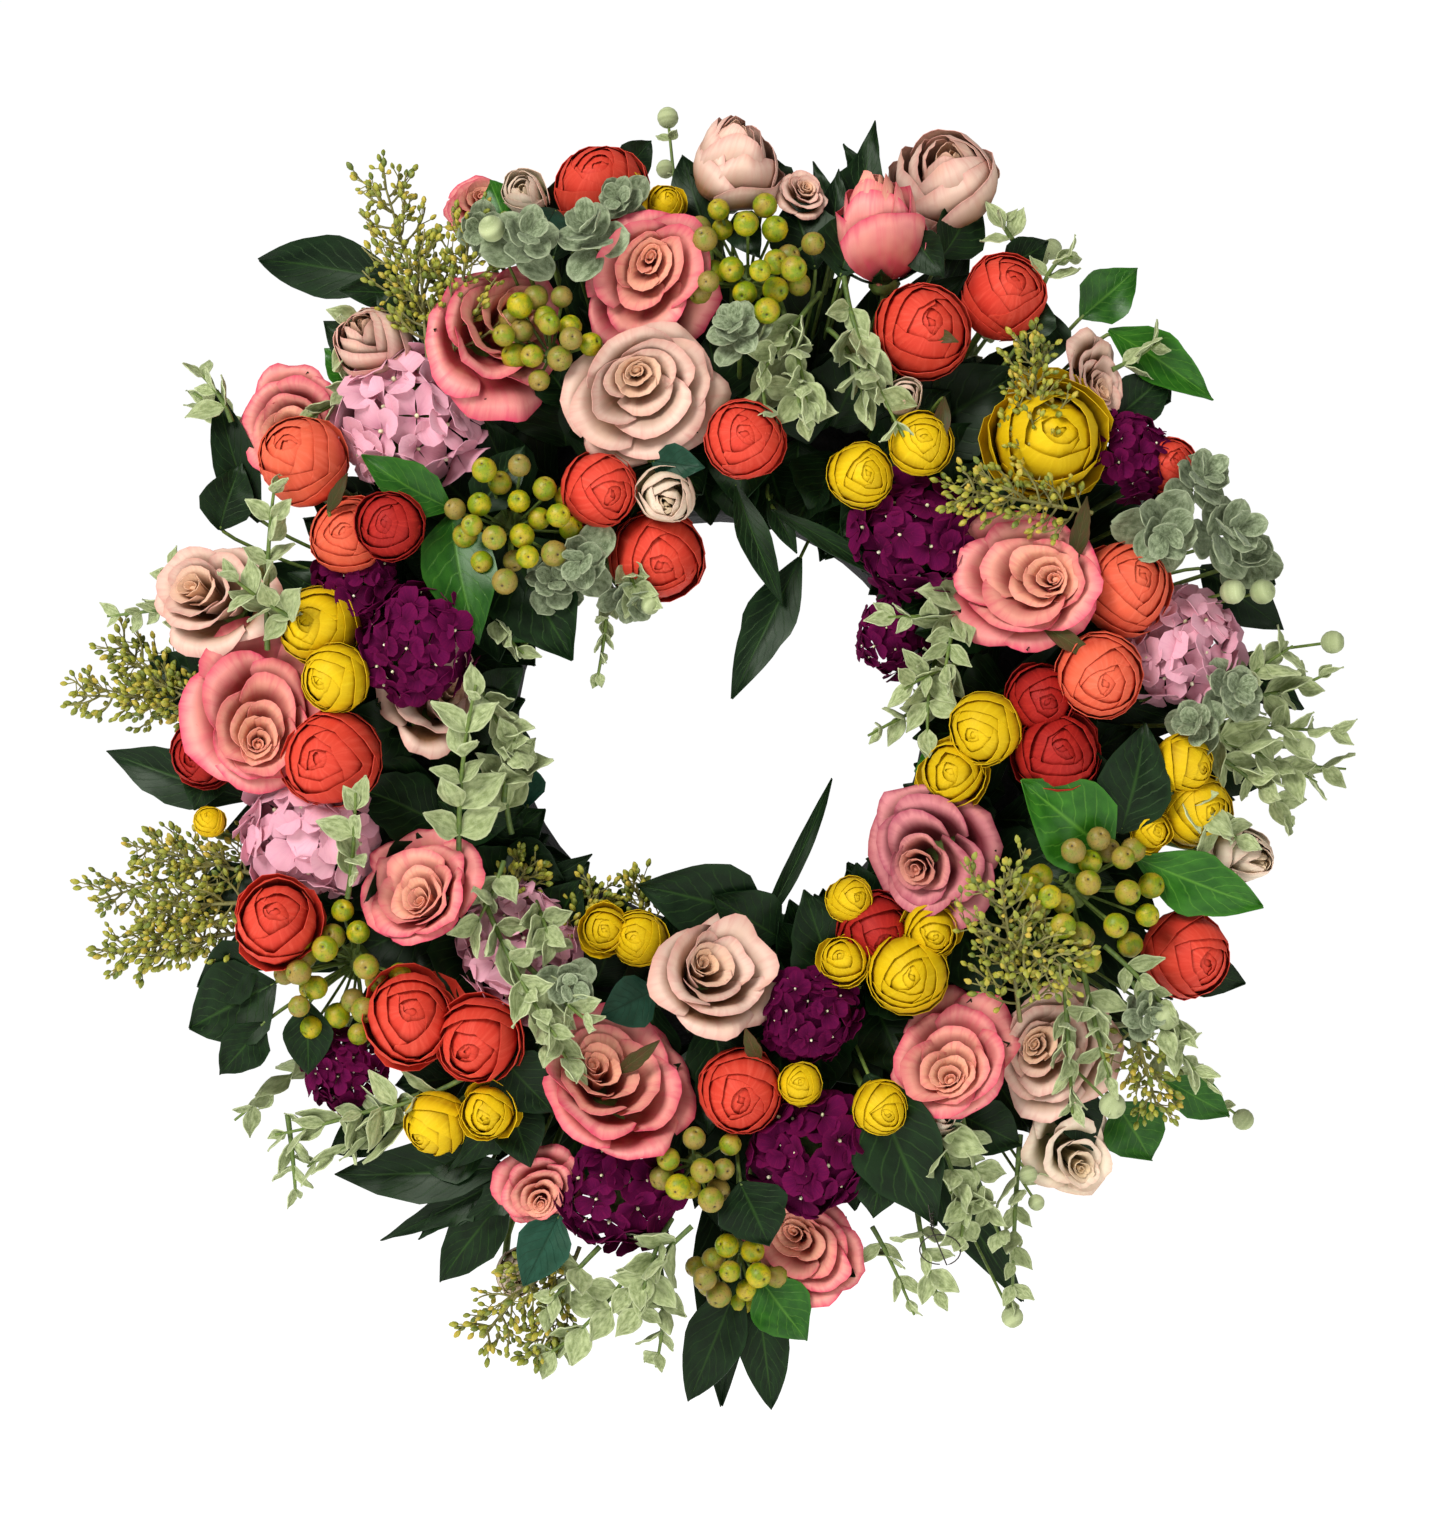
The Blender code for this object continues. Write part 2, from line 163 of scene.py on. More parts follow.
class Graph:
    """The node tree of one material."""

    def __init__(self, name: str) -> None:
        """Start an empty material."""
        self.material = bpy.data.materials.new(name)
        self.material.use_nodes = True
        self.tree = self.material.node_tree
        self.tree.nodes.clear()

    def node(
        self,
        kind: str,
        settings: dict | None = None,
        sockets: dict | None = None,
        output: int | str = 0,
    ) -> Wire:
        """Add a node.

        Args:
            kind: The node's type.
            settings: Its properties; "stops" are a colour ramp's positions and colours.
            sockets: Values or wires for its inputs, by name or number.
            output: Which output to hand back.

        Returns:
            The output as a wire.
        """
        made = self.tree.nodes.new(kind)
        for key, value in (settings or {}).items():
            if key == "stops":
                self._set_stops(made.color_ramp, value)
            else:
                setattr(made, key, value)
        for key, value in (sockets or {}).items():
            if isinstance(value, Wire):
                self.tree.links.new(value.socket, made.inputs[key])
            else:
                made.inputs[key].default_value = value
        return Wire(self, made.outputs[output])

    @staticmethod
    def _set_stops(ramp: bpy.types.ColorRamp, stops: Sequence[tuple[float, str]]) -> None:
        """Give a colour ramp its stops."""
        while len(ramp.elements) < len(stops):
            ramp.elements.new(1.0)
        for element, (position, code) in zip(ramp.elements, stops):
            element.position = position
            element.color = shade(code)

    def math(self, operation: str, *values: Value) -> Wire:
        """Do one sum."""
        return self.node("ShaderNodeMath", {"operation": operation}, dict(enumerate(values)))

    def larger(self, first: Value, second: Value) -> Wire:
        """Take the larger of two values."""
        return self.math("MAXIMUM", first, second)

    def vector(self, x: Value, y: Value, z: Value) -> Wire:
        """Join three values."""
        return self.node("ShaderNodeCombineXYZ", {}, {0: x, 1: y, 2: z})

    def mix(self, share: Value, first: Value, second: Value, blend: str = "MIX") -> Wire:
        """Mix two colours.

        Args:
            share: How much of the second colour shows.
            first: The colour at 0.
            second: The colour at 1.
            blend: The way they mix.

        Returns:
            The mixed colour.
        """
        settings = {"data_type": "RGBA", "blend_type": blend}
        return self.node("ShaderNodeMix", settings, {0: share, 6: first, 7: second}, 2)

    def ramp(self, value: Value, stops: Sequence[tuple[float, str]]) -> Wire:
        """Colour a value by a ramp."""
        return self.node("ShaderNodeValToRGB", {"stops": stops}, {0: value})

    def place(self) -> tuple[Wire, Wire, Wire]:
        """Read where a point lies on its sheet: across (-1 to 1), along (0 to 1) and layer."""
        read = self.node("ShaderNodeAttribute", {"attribute_name": "place"}, {}, "Vector")
        parts = [self.node("ShaderNodeSeparateXYZ", {}, {0: read}, part) for part in range(3)]
        return parts[0], parts[1], parts[2]

    def tint(self) -> Wire:
        """Read the sheet's own chance value."""
        return self.node("ShaderNodeAttribute", {"attribute_name": "tint"}, {}, "Fac")

    def grain(self, scale: float, detail: float = 3.0, where: Wire | None = None) -> Wire:
        """Make noise.

        Args:
            scale: Lumps per metre, or per unit of where.
            detail: Octaves.
            where: A position of its own, or the object's.

        Returns:
            The noise, about 0.5.
        """
        where = where or self.node("ShaderNodeTexCoord", {}, {}, "Object")
        sockets = {"Vector": where, "Scale": scale, "Detail": detail}
        return self.node("ShaderNodeTexNoise", {}, sockets)

    def bump(self, height: Wire, strength: float, distance: float) -> Wire:
        """Turn a height into a normal."""
        sockets = {"Height": height, "Strength": strength, "Distance": distance}
        return self.node("ShaderNodeBump", {}, sockets, "Normal")

    def surface(self, **sockets: Value) -> bpy.types.Material:
        """Finish the material.

        Args:
            sockets: The Principled shader's inputs, with _ for a space.

        Returns:
            The material.
        """
        named = {key.replace("_", " "): value for key, value in sockets.items()}
        shader = self.node("ShaderNodeBsdfPrincipled", {}, named)
        output = self.tree.nodes.new("ShaderNodeOutputMaterial")
        self.tree.links.new(shader.socket, output.inputs["Surface"])
        return self.material


# ---------------------------------------------------------------------------------------------
# Finishes
# ---------------------------------------------------------------------------------------------


@dataclass(frozen=True)
class SilkFinish:
    """Printed silk: a petal that changes colour from foot to rim, with fine veins and crinkles.

    heart colours the innermost petals. foot colours the bottom of every petal:
    partly its dye, partly painted shade low on the petal, down among the petals around it.
    """

    name: str
    heart: str
    # foot: partly the petal's dye, partly painted shade low on the petal.
    foot: str
    body: str
    edge: str
    edge_start: float = 0.7
    edge_strength: float = 0.8
    heart_reach: float = 0.25
    shadow: str = "8a3038"
    # bloom: how much the pale patches show, a painted highlight.
    bloom: float = 0.25
    # Where along the petal the painted foot shade gives way to the body colour.
    foot_shade_start: float = 0.50
    foot_shade_end: float = 0.84
    gloss: float = 0.18
    roughness: float = 0.62

    def material(self) -> bpy.types.Material:
        """Build the shader."""
        graph = Graph(self.name)
        across, along, layer = graph.place()
        tint = graph.tint()
        lines = graph.vector(across * 7.0, along * 1.3, tint * 31.0)
        veins = graph.grain(1.6, 4.0, lines)
        patches = graph.grain(1.1, 2.0, graph.vector(across * 1.4, along * 2.0, tint * 17.0))
        rim = graph.larger(abs(across) * 0.93, along)
        rim = rim + (veins - 0.5) * 0.14 + (patches - 0.5) * 0.12
        edge = rim.ramp(self.edge_start, 1.03) ** 1.2 * self.edge_strength
        # depth: 0 in the painted shade at the petal's foot, 1 in the body colour.
        depth = (along + (patches - 0.5) * 0.10).ramp(self.foot_shade_start, self.foot_shade_end)
        colour = graph.mix(depth, shade(self.foot), shade(self.body))
        inner = 1.0 - layer.ramp(self.heart_reach * 0.55, self.heart_reach * 1.5)
        colour = graph.mix(inner * 0.85 * (depth * 0.6 + 0.4), colour, shade(self.heart))
        colour = graph.mix(edge * (1.0 - inner * 0.75), colour, shade(self.edge))
        colour = graph.mix((tint - 0.25).clamped() * 0.38, colour, shade(self.shadow))
        streak = veins.ramp(0.48, 0.74) * 0.30
        colour = graph.mix(streak, colour, shade(self.edge))
        # Pale patches toward the heart colour: a painted highlight.
        painted_highlight = patches.ramp(0.50, 0.85) * self.bloom
        colour = graph.mix(painted_highlight, colour, shade(self.heart))
        weave = graph.grain(2600.0, 1.0)
        crinkle = graph.grain(260.0, 3.0)
        height = veins * 0.7 + crinkle * 0.5 + weave * 0.12
        return graph.surface(
            Base_Color=colour,
            Roughness=self.roughness + (weave - 0.5) * 0.2,
            Normal=graph.bump(height, 0.35, 0.6 * MM),
            Specular_IOR_Level=self.gloss,
        )


@dataclass(frozen=True)
class LeafFinish:
    """Waxed leaf cloth with printed veins. gloss is the weight of its clear coat."""

    name: str
    body: str
    vein: str
    edge: str
    ribs: float = 9.0
    rough: float = 0.42
    gloss: float = 0.25
    vein_strength: float = 0.55

    def material(self) -> bpy.types.Material:
        """Build the shader."""
        graph = Graph(self.name)
        across, along, layer = graph.place()
        tint = graph.tint()
        side = abs(across)
        blotch = graph.grain(2.2, 4.0, graph.vector(across * 1.2, along * 2.5, tint * 23.0))
        wander = (blotch - 0.5) * 0.10
        wave = graph.math("FRACT", (along - side * 0.30 + wander) * self.ribs)
        rib = 1.0 - abs(wave - 0.5).ramp(0.0, 0.09)
        rib = rib * (1.0 - side.ramp(0.70, 0.98))
        midrib = 1.0 - side.ramp(0.0, 0.07)
        lines = graph.larger(rib * 0.6, midrib)
        colour = graph.mix(blotch.ramp(0.40, 0.75) * 0.7, shade(self.body), shade(self.edge))
        colour = graph.mix(lines * self.vein_strength, colour, shade(self.vein))
        colour = graph.mix(side.ramp(0.86, 1.0) * 0.5, colour, shade(self.edge))
        colour = graph.mix((tint - 0.4).clamped() * 0.7, colour, (0.003, 0.008, 0.004, 1.0))
        weave = graph.grain(1900.0, 1.0)
        height = lines * -0.8 + wave * 0.4 + blotch * 0.5 + weave * 0.12
        return graph.surface(
            Base_Color=colour,
            Roughness=self.rough + (blotch - 0.5) * 0.35,
            Normal=graph.bump(height, 0.5, 0.7 * MM),
            Specular_IOR_Level=0.16,
            Specular_Tint=(0.62, 0.85, 0.50, 1.0),
            Coat_Weight=self.gloss,
            Coat_Roughness=0.30,
        )


@dataclass(frozen=True)
class FlockFinish:
    """Pale velvet flock on leaves and seed balls, lighter at the rim and where it is raised."""

    name: str
    body: str
    rim: str
    deep: str

    def material(self) -> bpy.types.Material:
        """Build the shader."""
        graph = Graph(self.name)
        across, along, layer = graph.place()
        tint = graph.tint()
        side = abs(across)
        mottle = graph.grain(2.4, 5.0, graph.vector(across * 1.5, along * 2.2, tint * 29.0))
        flock = graph.grain(1500.0, 2.0)
        rim = graph.larger(side, along).ramp(0.78, 1.0)
        colour = graph.mix(mottle.ramp(0.35, 0.70), shade(self.deep), shade(self.body))
        midrib = 1.0 - side.ramp(0.0, 0.09)
        colour = graph.mix(midrib * 0.15, colour, shade(self.rim))
        colour = graph.mix(rim * 0.35, colour, shade(self.rim))
        colour = graph.mix(flock.ramp(0.58, 0.80) * 0.35, colour, (0.70, 0.78, 0.55, 1.0))
        colour = graph.mix((tint - 0.5).clamped() * 0.5, colour, shade(self.deep))
        height = flock * 0.5 + mottle * 0.6 - midrib * 0.4
        return graph.surface(
            Base_Color=colour,
            Roughness=0.88,
            Normal=graph.bump(height, 0.45, 0.6 * MM),
            Specular_IOR_Level=0.15,
            Sheen_Weight=0.22,
            Sheen_Roughness=0.4,
            Sheen_Tint=(0.86, 0.92, 0.78, 1.0),
        )


@dataclass(frozen=True)
class BerryFinish:
    """Painted berries: yellow-green, blushed beige and brown, dark in the dimple."""

    name: str
    green: str
    gold: str
    blush: str

    def material(self) -> bpy.types.Material:
        """Build the shader."""
        graph = Graph(self.name)
        across, along, layer = graph.place()
        tint = graph.tint()
        cloud = graph.grain(170.0, 4.0)
        speck = graph.grain(1100.0, 3.0)
        colour = graph.mix(cloud.ramp(0.40, 0.62), shade(self.green), shade(self.gold))
        amount = (cloud * 1.1 + tint * 0.55 - 0.72).ramp(0.0, 0.35)
        colour = graph.mix(amount * 0.65, colour, shade(self.blush))
        colour = graph.mix(speck.ramp(0.56, 0.72) * 0.65, colour, shade("4a361c"))
        crown = along.ramp(0.90, 0.965)
        colour = graph.mix(crown * 0.9, colour, shade("2a1c10"))
        return graph.surface(
            Base_Color=colour,
            Roughness=0.50 + (speck - 0.5) * 0.35,
            Normal=graph.bump(speck + cloud * 0.6, 0.30, 0.5 * MM),
            Specular_IOR_Level=0.35,
            Coat_Weight=0.05,
            Coat_Roughness=0.25,
        )


@dataclass(frozen=True)
class StalkFinish:
    """Moulded plastic over wire, streaked along its length."""

    name: str
    body: str
    tip: str
    rough: float = 0.6

    def material(self) -> bpy.types.Material:
        """Build the shader."""
        graph = Graph(self.name)
        across, along, layer = graph.place()
        streak = graph.grain(420.0, 3.0)
        share = streak.ramp(0.35, 0.70) * 0.6 + along * 0.4
        colour = graph.mix(share.clamped(), shade(self.body), shade(self.tip))
        return graph.surface(
            Base_Color=colour,
            Roughness=self.rough + (streak - 0.5) * 0.3,
            Normal=graph.bump(streak, 0.35, 0.5 * MM),
        )


@dataclass(frozen=True)
class BudFinish:
    """Tiny moulded buds, each its own yellow or green."""

    name: str
    green: str
    gold: str
    rust: str

    def material(self) -> bpy.types.Material:
        """Build the shader."""
        graph = Graph(self.name)
        across, along, layer = graph.place()
        tint = graph.tint()
        cloud = graph.grain(260.0, 2.0)
        share = (tint * 0.7 + along * 0.3 + (cloud - 0.5) * 0.6).clamped()
        colour = graph.ramp(share, ((0.15, self.green), (0.62, self.gold), (0.98, self.rust)))
        return graph.surface(
            Base_Color=colour,
            Roughness=0.55 + (cloud - 0.5) * 0.3,
            Normal=graph.bump(cloud, 0.3, 0.4 * MM),
        )


@dataclass(frozen=True)
class FoamFinish:
    """Black sprayed foam: open grains, lighter on the high ones."""

    name: str
    body: str
    raised_tone: str

    def material(self) -> bpy.types.Material:
        """Build the shader."""
        graph = Graph(self.name)
        where = graph.node("ShaderNodeTexCoord", {}, {}, "Object")
        cells = graph.node(
            "ShaderNodeTexVoronoi", {}, {"Vector": where, "Scale": 420.0}, "Distance"
        )
        lumps = graph.grain(60.0, 5.0)
        fine = graph.grain(900.0, 3.0)
        # Lighter where the lumps and fine grains stand high.
        share = lumps.ramp(0.45, 0.75) * 0.5 + fine.ramp(0.55, 0.8) * 0.4
        colour = graph.mix(share.clamped(), shade(self.body), shade(self.raised_tone))
        return graph.surface(
            Base_Color=colour,
            Roughness=0.9 + (fine - 0.5) * 0.1,
            Normal=graph.bump(cells * -1.0 + fine * 0.5 + lumps, 0.7, 0.9 * MM),
        )


@dataclass(frozen=True)
class SteelFinish:
    """Galvanised wire with drawn scratches."""

    name: str
    body: str

    def material(self) -> bpy.types.Material:
        """Build the shader."""
        graph = Graph(self.name)
        drawn = graph.grain(700.0, 4.0)
        stain = graph.grain(90.0, 3.0)
        colour = graph.mix(stain.ramp(0.5, 0.8) * 0.4, shade(self.body), shade("5b564c"))
        return graph.surface(
            Base_Color=colour,
            Metallic=1.0,
            Roughness=0.32 + (drawn - 0.5) * 0.3,
            Normal=graph.bump(drawn, 0.2, 0.2 * MM),
        )


@dataclass(frozen=True)
class PaperFinish:
    """The studio's seamless white paper."""

    name: str
    glow: float

    def material(self) -> bpy.types.Material:
        """Build the shader."""
        graph = Graph(self.name)
        fibre = graph.grain(40.0, 4.0)
        return graph.surface(
            Base_Color=(0.9, 0.9, 0.9, 1.0),
            Roughness=0.9 + (fibre - 0.5) * 0.1,
            Emission_Color=(1.0, 1.0, 1.0, 1.0),
            Emission_Strength=self.glow,
        )


class Finish(Enum):
    """Every finish on the wreath."""

    PINK = SilkFinish(
        "pink_silk", "eab08a", "a23c3c", "e6948c", "cc2256", 0.82, 1.0, 0.55, "b05058", 0.34
    )
    DUSTY = SilkFinish(
        "dusty_silk", "dc9c80", "742c32", "cc8082", "94304c", 0.86, 0.9, 0.34, "84343e", 0.28
    )
    BLUSH = SilkFinish(
        "blush_silk", "e4ba92", "86603e", "e0bfac", "c88078", 0.86, 0.7, 0.30, "ac8878", 0.30
    )
    CREAM = SilkFinish(
        "cream_silk", "e6cca0", "8a8254", "e6d4bc", "d0a290", 0.86, 0.6, 0.3, "a8947c", 0.25
    )
    # On the ball-shaped heads below, the edge colour is lighter than the body: a painted highlight on the
    # rims.
    CORAL = SilkFinish(
        "coral_silk", "c23420", "a0281c", "ee5240", "f06a54", 0.80, 0.6, 0.0, "c02820", 0.08, 0.70, 0.95
    )
    SALMON = SilkFinish(
        "salmon_silk", "d45838", "b83c28", "f26c50", "f48468", 0.80, 0.6, 0.0, "cc4430", 0.08, 0.70, 0.95
    )
    SCARLET = SilkFinish(
        "scarlet_silk", "8c1410", "640c0c", "c42a20", "d03a2c", 0.80, 0.5, 0.0, "700a0a", 0.08, 0.70, 0.95
    )
    YELLOW = SilkFinish(
        "yellow_silk", "d0a800", "947000", "e6c808", "ead024", 0.80, 0.5, 0.0, "a48404", 0.08, 0.70, 0.95
    )
    LILAC = SilkFinish(
        "lilac_silk", "e4acb8", "9c4c68", "dea0b0", "c8809c", 0.66, 0.5, 0.0, "94506a", 0.2, 0.05, 0.6
    )
    # Its lighter magenta edge is partly the florets' dye and partly a painted highlight on the rims.
    PURPLE = SilkFinish(
        "purple_velvet",
        "58083c",
        "14010a",
        "34031a",
        "7c1244",
        0.66,
        0.75,
        0.0,
        "12010a",
        0.05,
        0.05,
        0.7,
        0.05,
        0.8,
    )
    DARK_LEAF = LeafFinish("dark_leaf_cloth", "061407", "34561e", "152e12", 9.0, 0.46, 0.08, 0.5)
    BRIGHT_LEAF = LeafFinish("bright_leaf_cloth", "1c4e0c", "629a30", "38741a", 8.0, 0.34, 0.22)
    TEAL_LEAF = LeafFinish("teal_leaf_cloth", "183a2c", "0c281c", "264e3e", 8.0, 0.5, 0.06, 0.8)
    SEPAL = LeafFinish("sepal_cloth", "3e3c1c", "6a5c38", "5c3026", 6.0, 0.6, 0.05)
    SAGE = FlockFinish("sage_flock", "b0ba88", "d2d8ae", "7a8656")
    EUCALYPTUS = FlockFinish("eucalyptus_flock", "929e7c", "bcc4a2", "5a6648")
    BERRY = BerryFinish("berry_paint", "748600", "b4a004", "7c6040")
    BUD = BudFinish("bud_plastic", "54641a", "94942a", "b89c34")
    POLLEN = BudFinish("pollen_beads", "c8c89a", "e0dcb0", "f0ecd0")
    STALK = StalkFinish("stalk_plastic", "3c5420", "6c8030")
    BROWN_STALK = StalkFinish("brown_stalk_plastic", "5c5a2c", "86803c")
    FOAM = FoamFinish("black_foam", "0e0e0e", "262624")
    GLUE = StalkFinish("clear_glue", "b8b4a4", "d8d4c4", 0.3)
    STEEL = SteelFinish("galvanised_wire", "b4b4b6")
    DARK_WIRE = SteelFinish("binding_wire", "3c3834")
    PAPER = PaperFinish("seamless_paper", 0.75)


class Wardrobe:
    """Makes each finish's material once."""

    def __init__(self) -> None:
        """Start with nothing made."""
        self.made: dict[Finish, bpy.types.Material] = {}

    def material(self, finish: Finish) -> bpy.types.Material:
        """Find or make the material of a finish."""
        if finish not in self.made:
            self.made[finish] = finish.value.material()
        return self.made[finish]


# ---------------------------------------------------------------------------------------------
# Sheets and solids
# ---------------------------------------------------------------------------------------------


def unit(vector: Array) -> Array:
    """Scale a vector to length 1."""
    return vector / max(float(np.linalg.norm(vector)), 1e-12)


def smooth(value: Array | float) -> Array | float:
    """Ease from 0 to 1."""
    held = np.clip(value, 0.0, 1.0)
    return held * held * (3 - 2 * held)


@dataclass(frozen=True)
class Stance:
    """Where a piece stands: its origin, and its own axes as rows."""

    origin: Array
    axes: Array

    @staticmethod
    def facing(origin: Array, aim: Array, roll: float = 0.0) -> Stance:
        """Stand with local +Z along an aim.

        Args:
            origin: Where local zero is.
            aim: Where +Z points.
            roll: The turn about it, in radians.

        Returns:
            The stance.
        """
        ahead = unit(aim)
        spare = UP if abs(ahead[2]) < 0.9 else FRONT
        side = unit(np.cross(spare, ahead))
        over = np.cross(ahead, side)
        cosine, sine = math.cos(roll), math.sin(roll)
        axes = np.array((side * cosine + over * sine, over * cosine - side * sine, ahead))
        return Stance(origin, axes)

    @staticmethod
    def leaf(origin: Array, along: Array, face: Array) -> Stance:
        """Stand with local +Y along a leaf and +Z out of its face."""
        ahead = unit(along)
        side = unit(np.cross(ahead, face))
        return Stance(origin, np.array((side, ahead, np.cross(side, ahead))))

    def world(self, points: Array) -> Array:
        """Carry local points into the world."""
        return self.origin + points @ self.axes


@dataclass(frozen=True)
class Crumple:
    """A slow push and pull of space that bends a head out of true.

    Args:
        waves: Three directions, each as long as its waves per metre.
        phases: Where each wave starts, by axis.
        depth: How far a point moves at most, in metres.
    """

    waves: Array
    phases: Array
    depth: float

    @staticmethod
    def of_head(radius: float, share: float, rng: np.random.Generator) -> Crumple:
        """Choose waves about as long as the head is wide."""
        waves = rng.normal(0, 1.0, (3, 3)) * 1.5 / radius
        return Crumple(waves, rng.uniform(0, math.tau, (3, 3)), share * radius)

    def bent(self, points: Array) -> Array:
        """Move points."""
        wave = np.sin(points @ self.waves.T + self.phases[0])
        second = np.sin(points @ self.waves.T * 2.1 + self.phases[1])
        return points + (wave + 0.35 * second) * self.depth


@dataclass
class Patch:
    """A closed piece of mesh in its own axes, with where each point lies on it."""

    points: Array
    places: Array
    quads: Array
    tris: Array
    part: int = 0

    @staticmethod
    def sheet(grid: Array, places: Array, thickness: float, part: int = 0) -> Patch:
        """Give a grid of points thickness.

        Args:
            grid: Rows by columns of points; rows run along the sheet, columns across it.
            places: Across, along and layer for each point.
            thickness: How thick the sheet is.
            part: The number of its finish on the piece.

        Returns:
            A closed thin solid.
        """
        rows, columns = grid.shape[:2]
        normals = np.cross(np.gradient(grid, axis=1), np.gradient(grid, axis=0))
        lengths = np.linalg.norm(normals, axis=2, keepdims=True)
        offset = normals / np.maximum(lengths, 1e-12) * (thickness / 2)
        count = rows * columns
        index = np.arange(count).reshape(rows, columns)
        first, second = index[:-1, :-1].ravel(), index[:-1, 1:].ravel()
        third, fourth = index[1:, 1:].ravel(), index[1:, :-1].ravel()
        front = np.stack((first, second, third, fourth), axis=1)
        rim = np.concatenate((index[0], index[1:, -1], index[-1, -2::-1], index[-2:0:-1, 0]))
        after = np.roll(rim, -1)
        sides = np.stack((after, rim, rim + count, after + count), axis=1)
        points = np.concatenate(((grid + offset).reshape(-1, 3), (grid - offset).reshape(-1, 3)))
        flat = places.reshape(-1, 3)
        quads = np.concatenate((front, front[:, ::-1] + count, sides))
        return Patch(points, np.concatenate((flat, flat)), quads, np.zeros((0, 3), int), part)

    @staticmethod
    def turned(profile: Sequence[tuple[float, float]], steps: int, part: int = 0) -> Patch:
        """Turn a profile of (radius, height) that starts and ends on the axis, from top to bottom."""
        inner = profile[1:-1]
        angles = np.arange(steps) * (math.tau / steps)
        rings = [
            np.stack((r * np.cos(angles), r * np.sin(angles), np.full(steps, h)), axis=1)
            for r, h in inner
        ]
        top, bottom = (0.0, 0.0, profile[0][1]), (0.0, 0.0, profile[-1][1])
        points = np.concatenate((*rings, np.array((top, bottom))))
        along = np.linspace(1, 0, len(profile))
        places = np.zeros((len(points), 3))
        places[:-2, 1] = np.repeat(along[1:-1], steps)
        places[-2, 1], places[-1, 1] = 1.0, 0.0
        quads, tris = ring_faces(len(inner), steps)
        return Patch(points, places, quads, tris, part)

    @staticmethod
    def tube(path: Array, radii: Array, sides: int, part: int = 0) -> Patch:
        """Run a round tube with closed ends along a path.

        Args:
            path: Its points.
            radii: The radius at each.
            sides: How many sides it has.
            part: The number of its finish on the piece.

        Returns:
            The tube.
        """
        ahead = np.gradient(path, axis=0)
        ahead /= np.maximum(np.linalg.norm(ahead, axis=1, keepdims=True), 1e-12)
        side = unit(np.cross(ahead[0], UP if abs(ahead[0][2]) < 0.9 else FRONT))
        angles = -np.arange(sides) * (math.tau / sides)
        rings = []
        for point, along, radius in zip(path, ahead, radii):
            side = unit(side - along * np.dot(side, along))
            over = np.cross(along, side)
            ring = np.outer(np.cos(angles), side) + np.outer(np.sin(angles), over)
            rings.append(point + ring * radius)
        points = np.concatenate((*rings, path[:1], path[-1:]))
        places = np.zeros((len(points), 3))
        places[:-2, 1] = np.repeat(np.linspace(0, 1, len(path)), sides)
        places[-1, 1] = 1.0
        quads, tris = ring_faces(len(path), sides)
        return Patch(points, places, quads, tris, part)

    def moved(self, stance: Stance, scale: float = 1.0) -> Patch:
        """Carry the patch to a stance."""
        return replace(self, points=stance.world(self.points * scale))

    def layered(self, layer: float) -> Patch:
        """Set the layer of every point."""
        places = self.places.copy()
        places[:, 2] = layer
        return replace(self, places=places)


def ring_faces(rings: int, steps: int) -> tuple[Array, Array]:
    """Join rings of points into a closed skin.

    Args:
        rings: How many rings there are, from top to bottom.
        steps: How many points each has.

    Returns:
        The quads between rings and the triangles to the two poles, which come last.
    """
    index = np.arange(rings * steps).reshape(rings, steps)
    after = np.roll(index, -1, axis=1)
    bands = [
        np.stack((index[r], index[r + 1], after[r + 1], after[r]), axis=1)
        for r in range(rings - 1)
    ]
    quads = np.concatenate(bands) if bands else np.zeros((0, 4), int)
    top, bottom = rings * steps, rings * steps + 1
    caps = (
        np.stack((np.full(steps, top), index[0], after[0]), axis=1),
        np.stack((np.full(steps, bottom), after[-1], index[-1]), axis=1),
    )
    return quads, np.concatenate(caps)


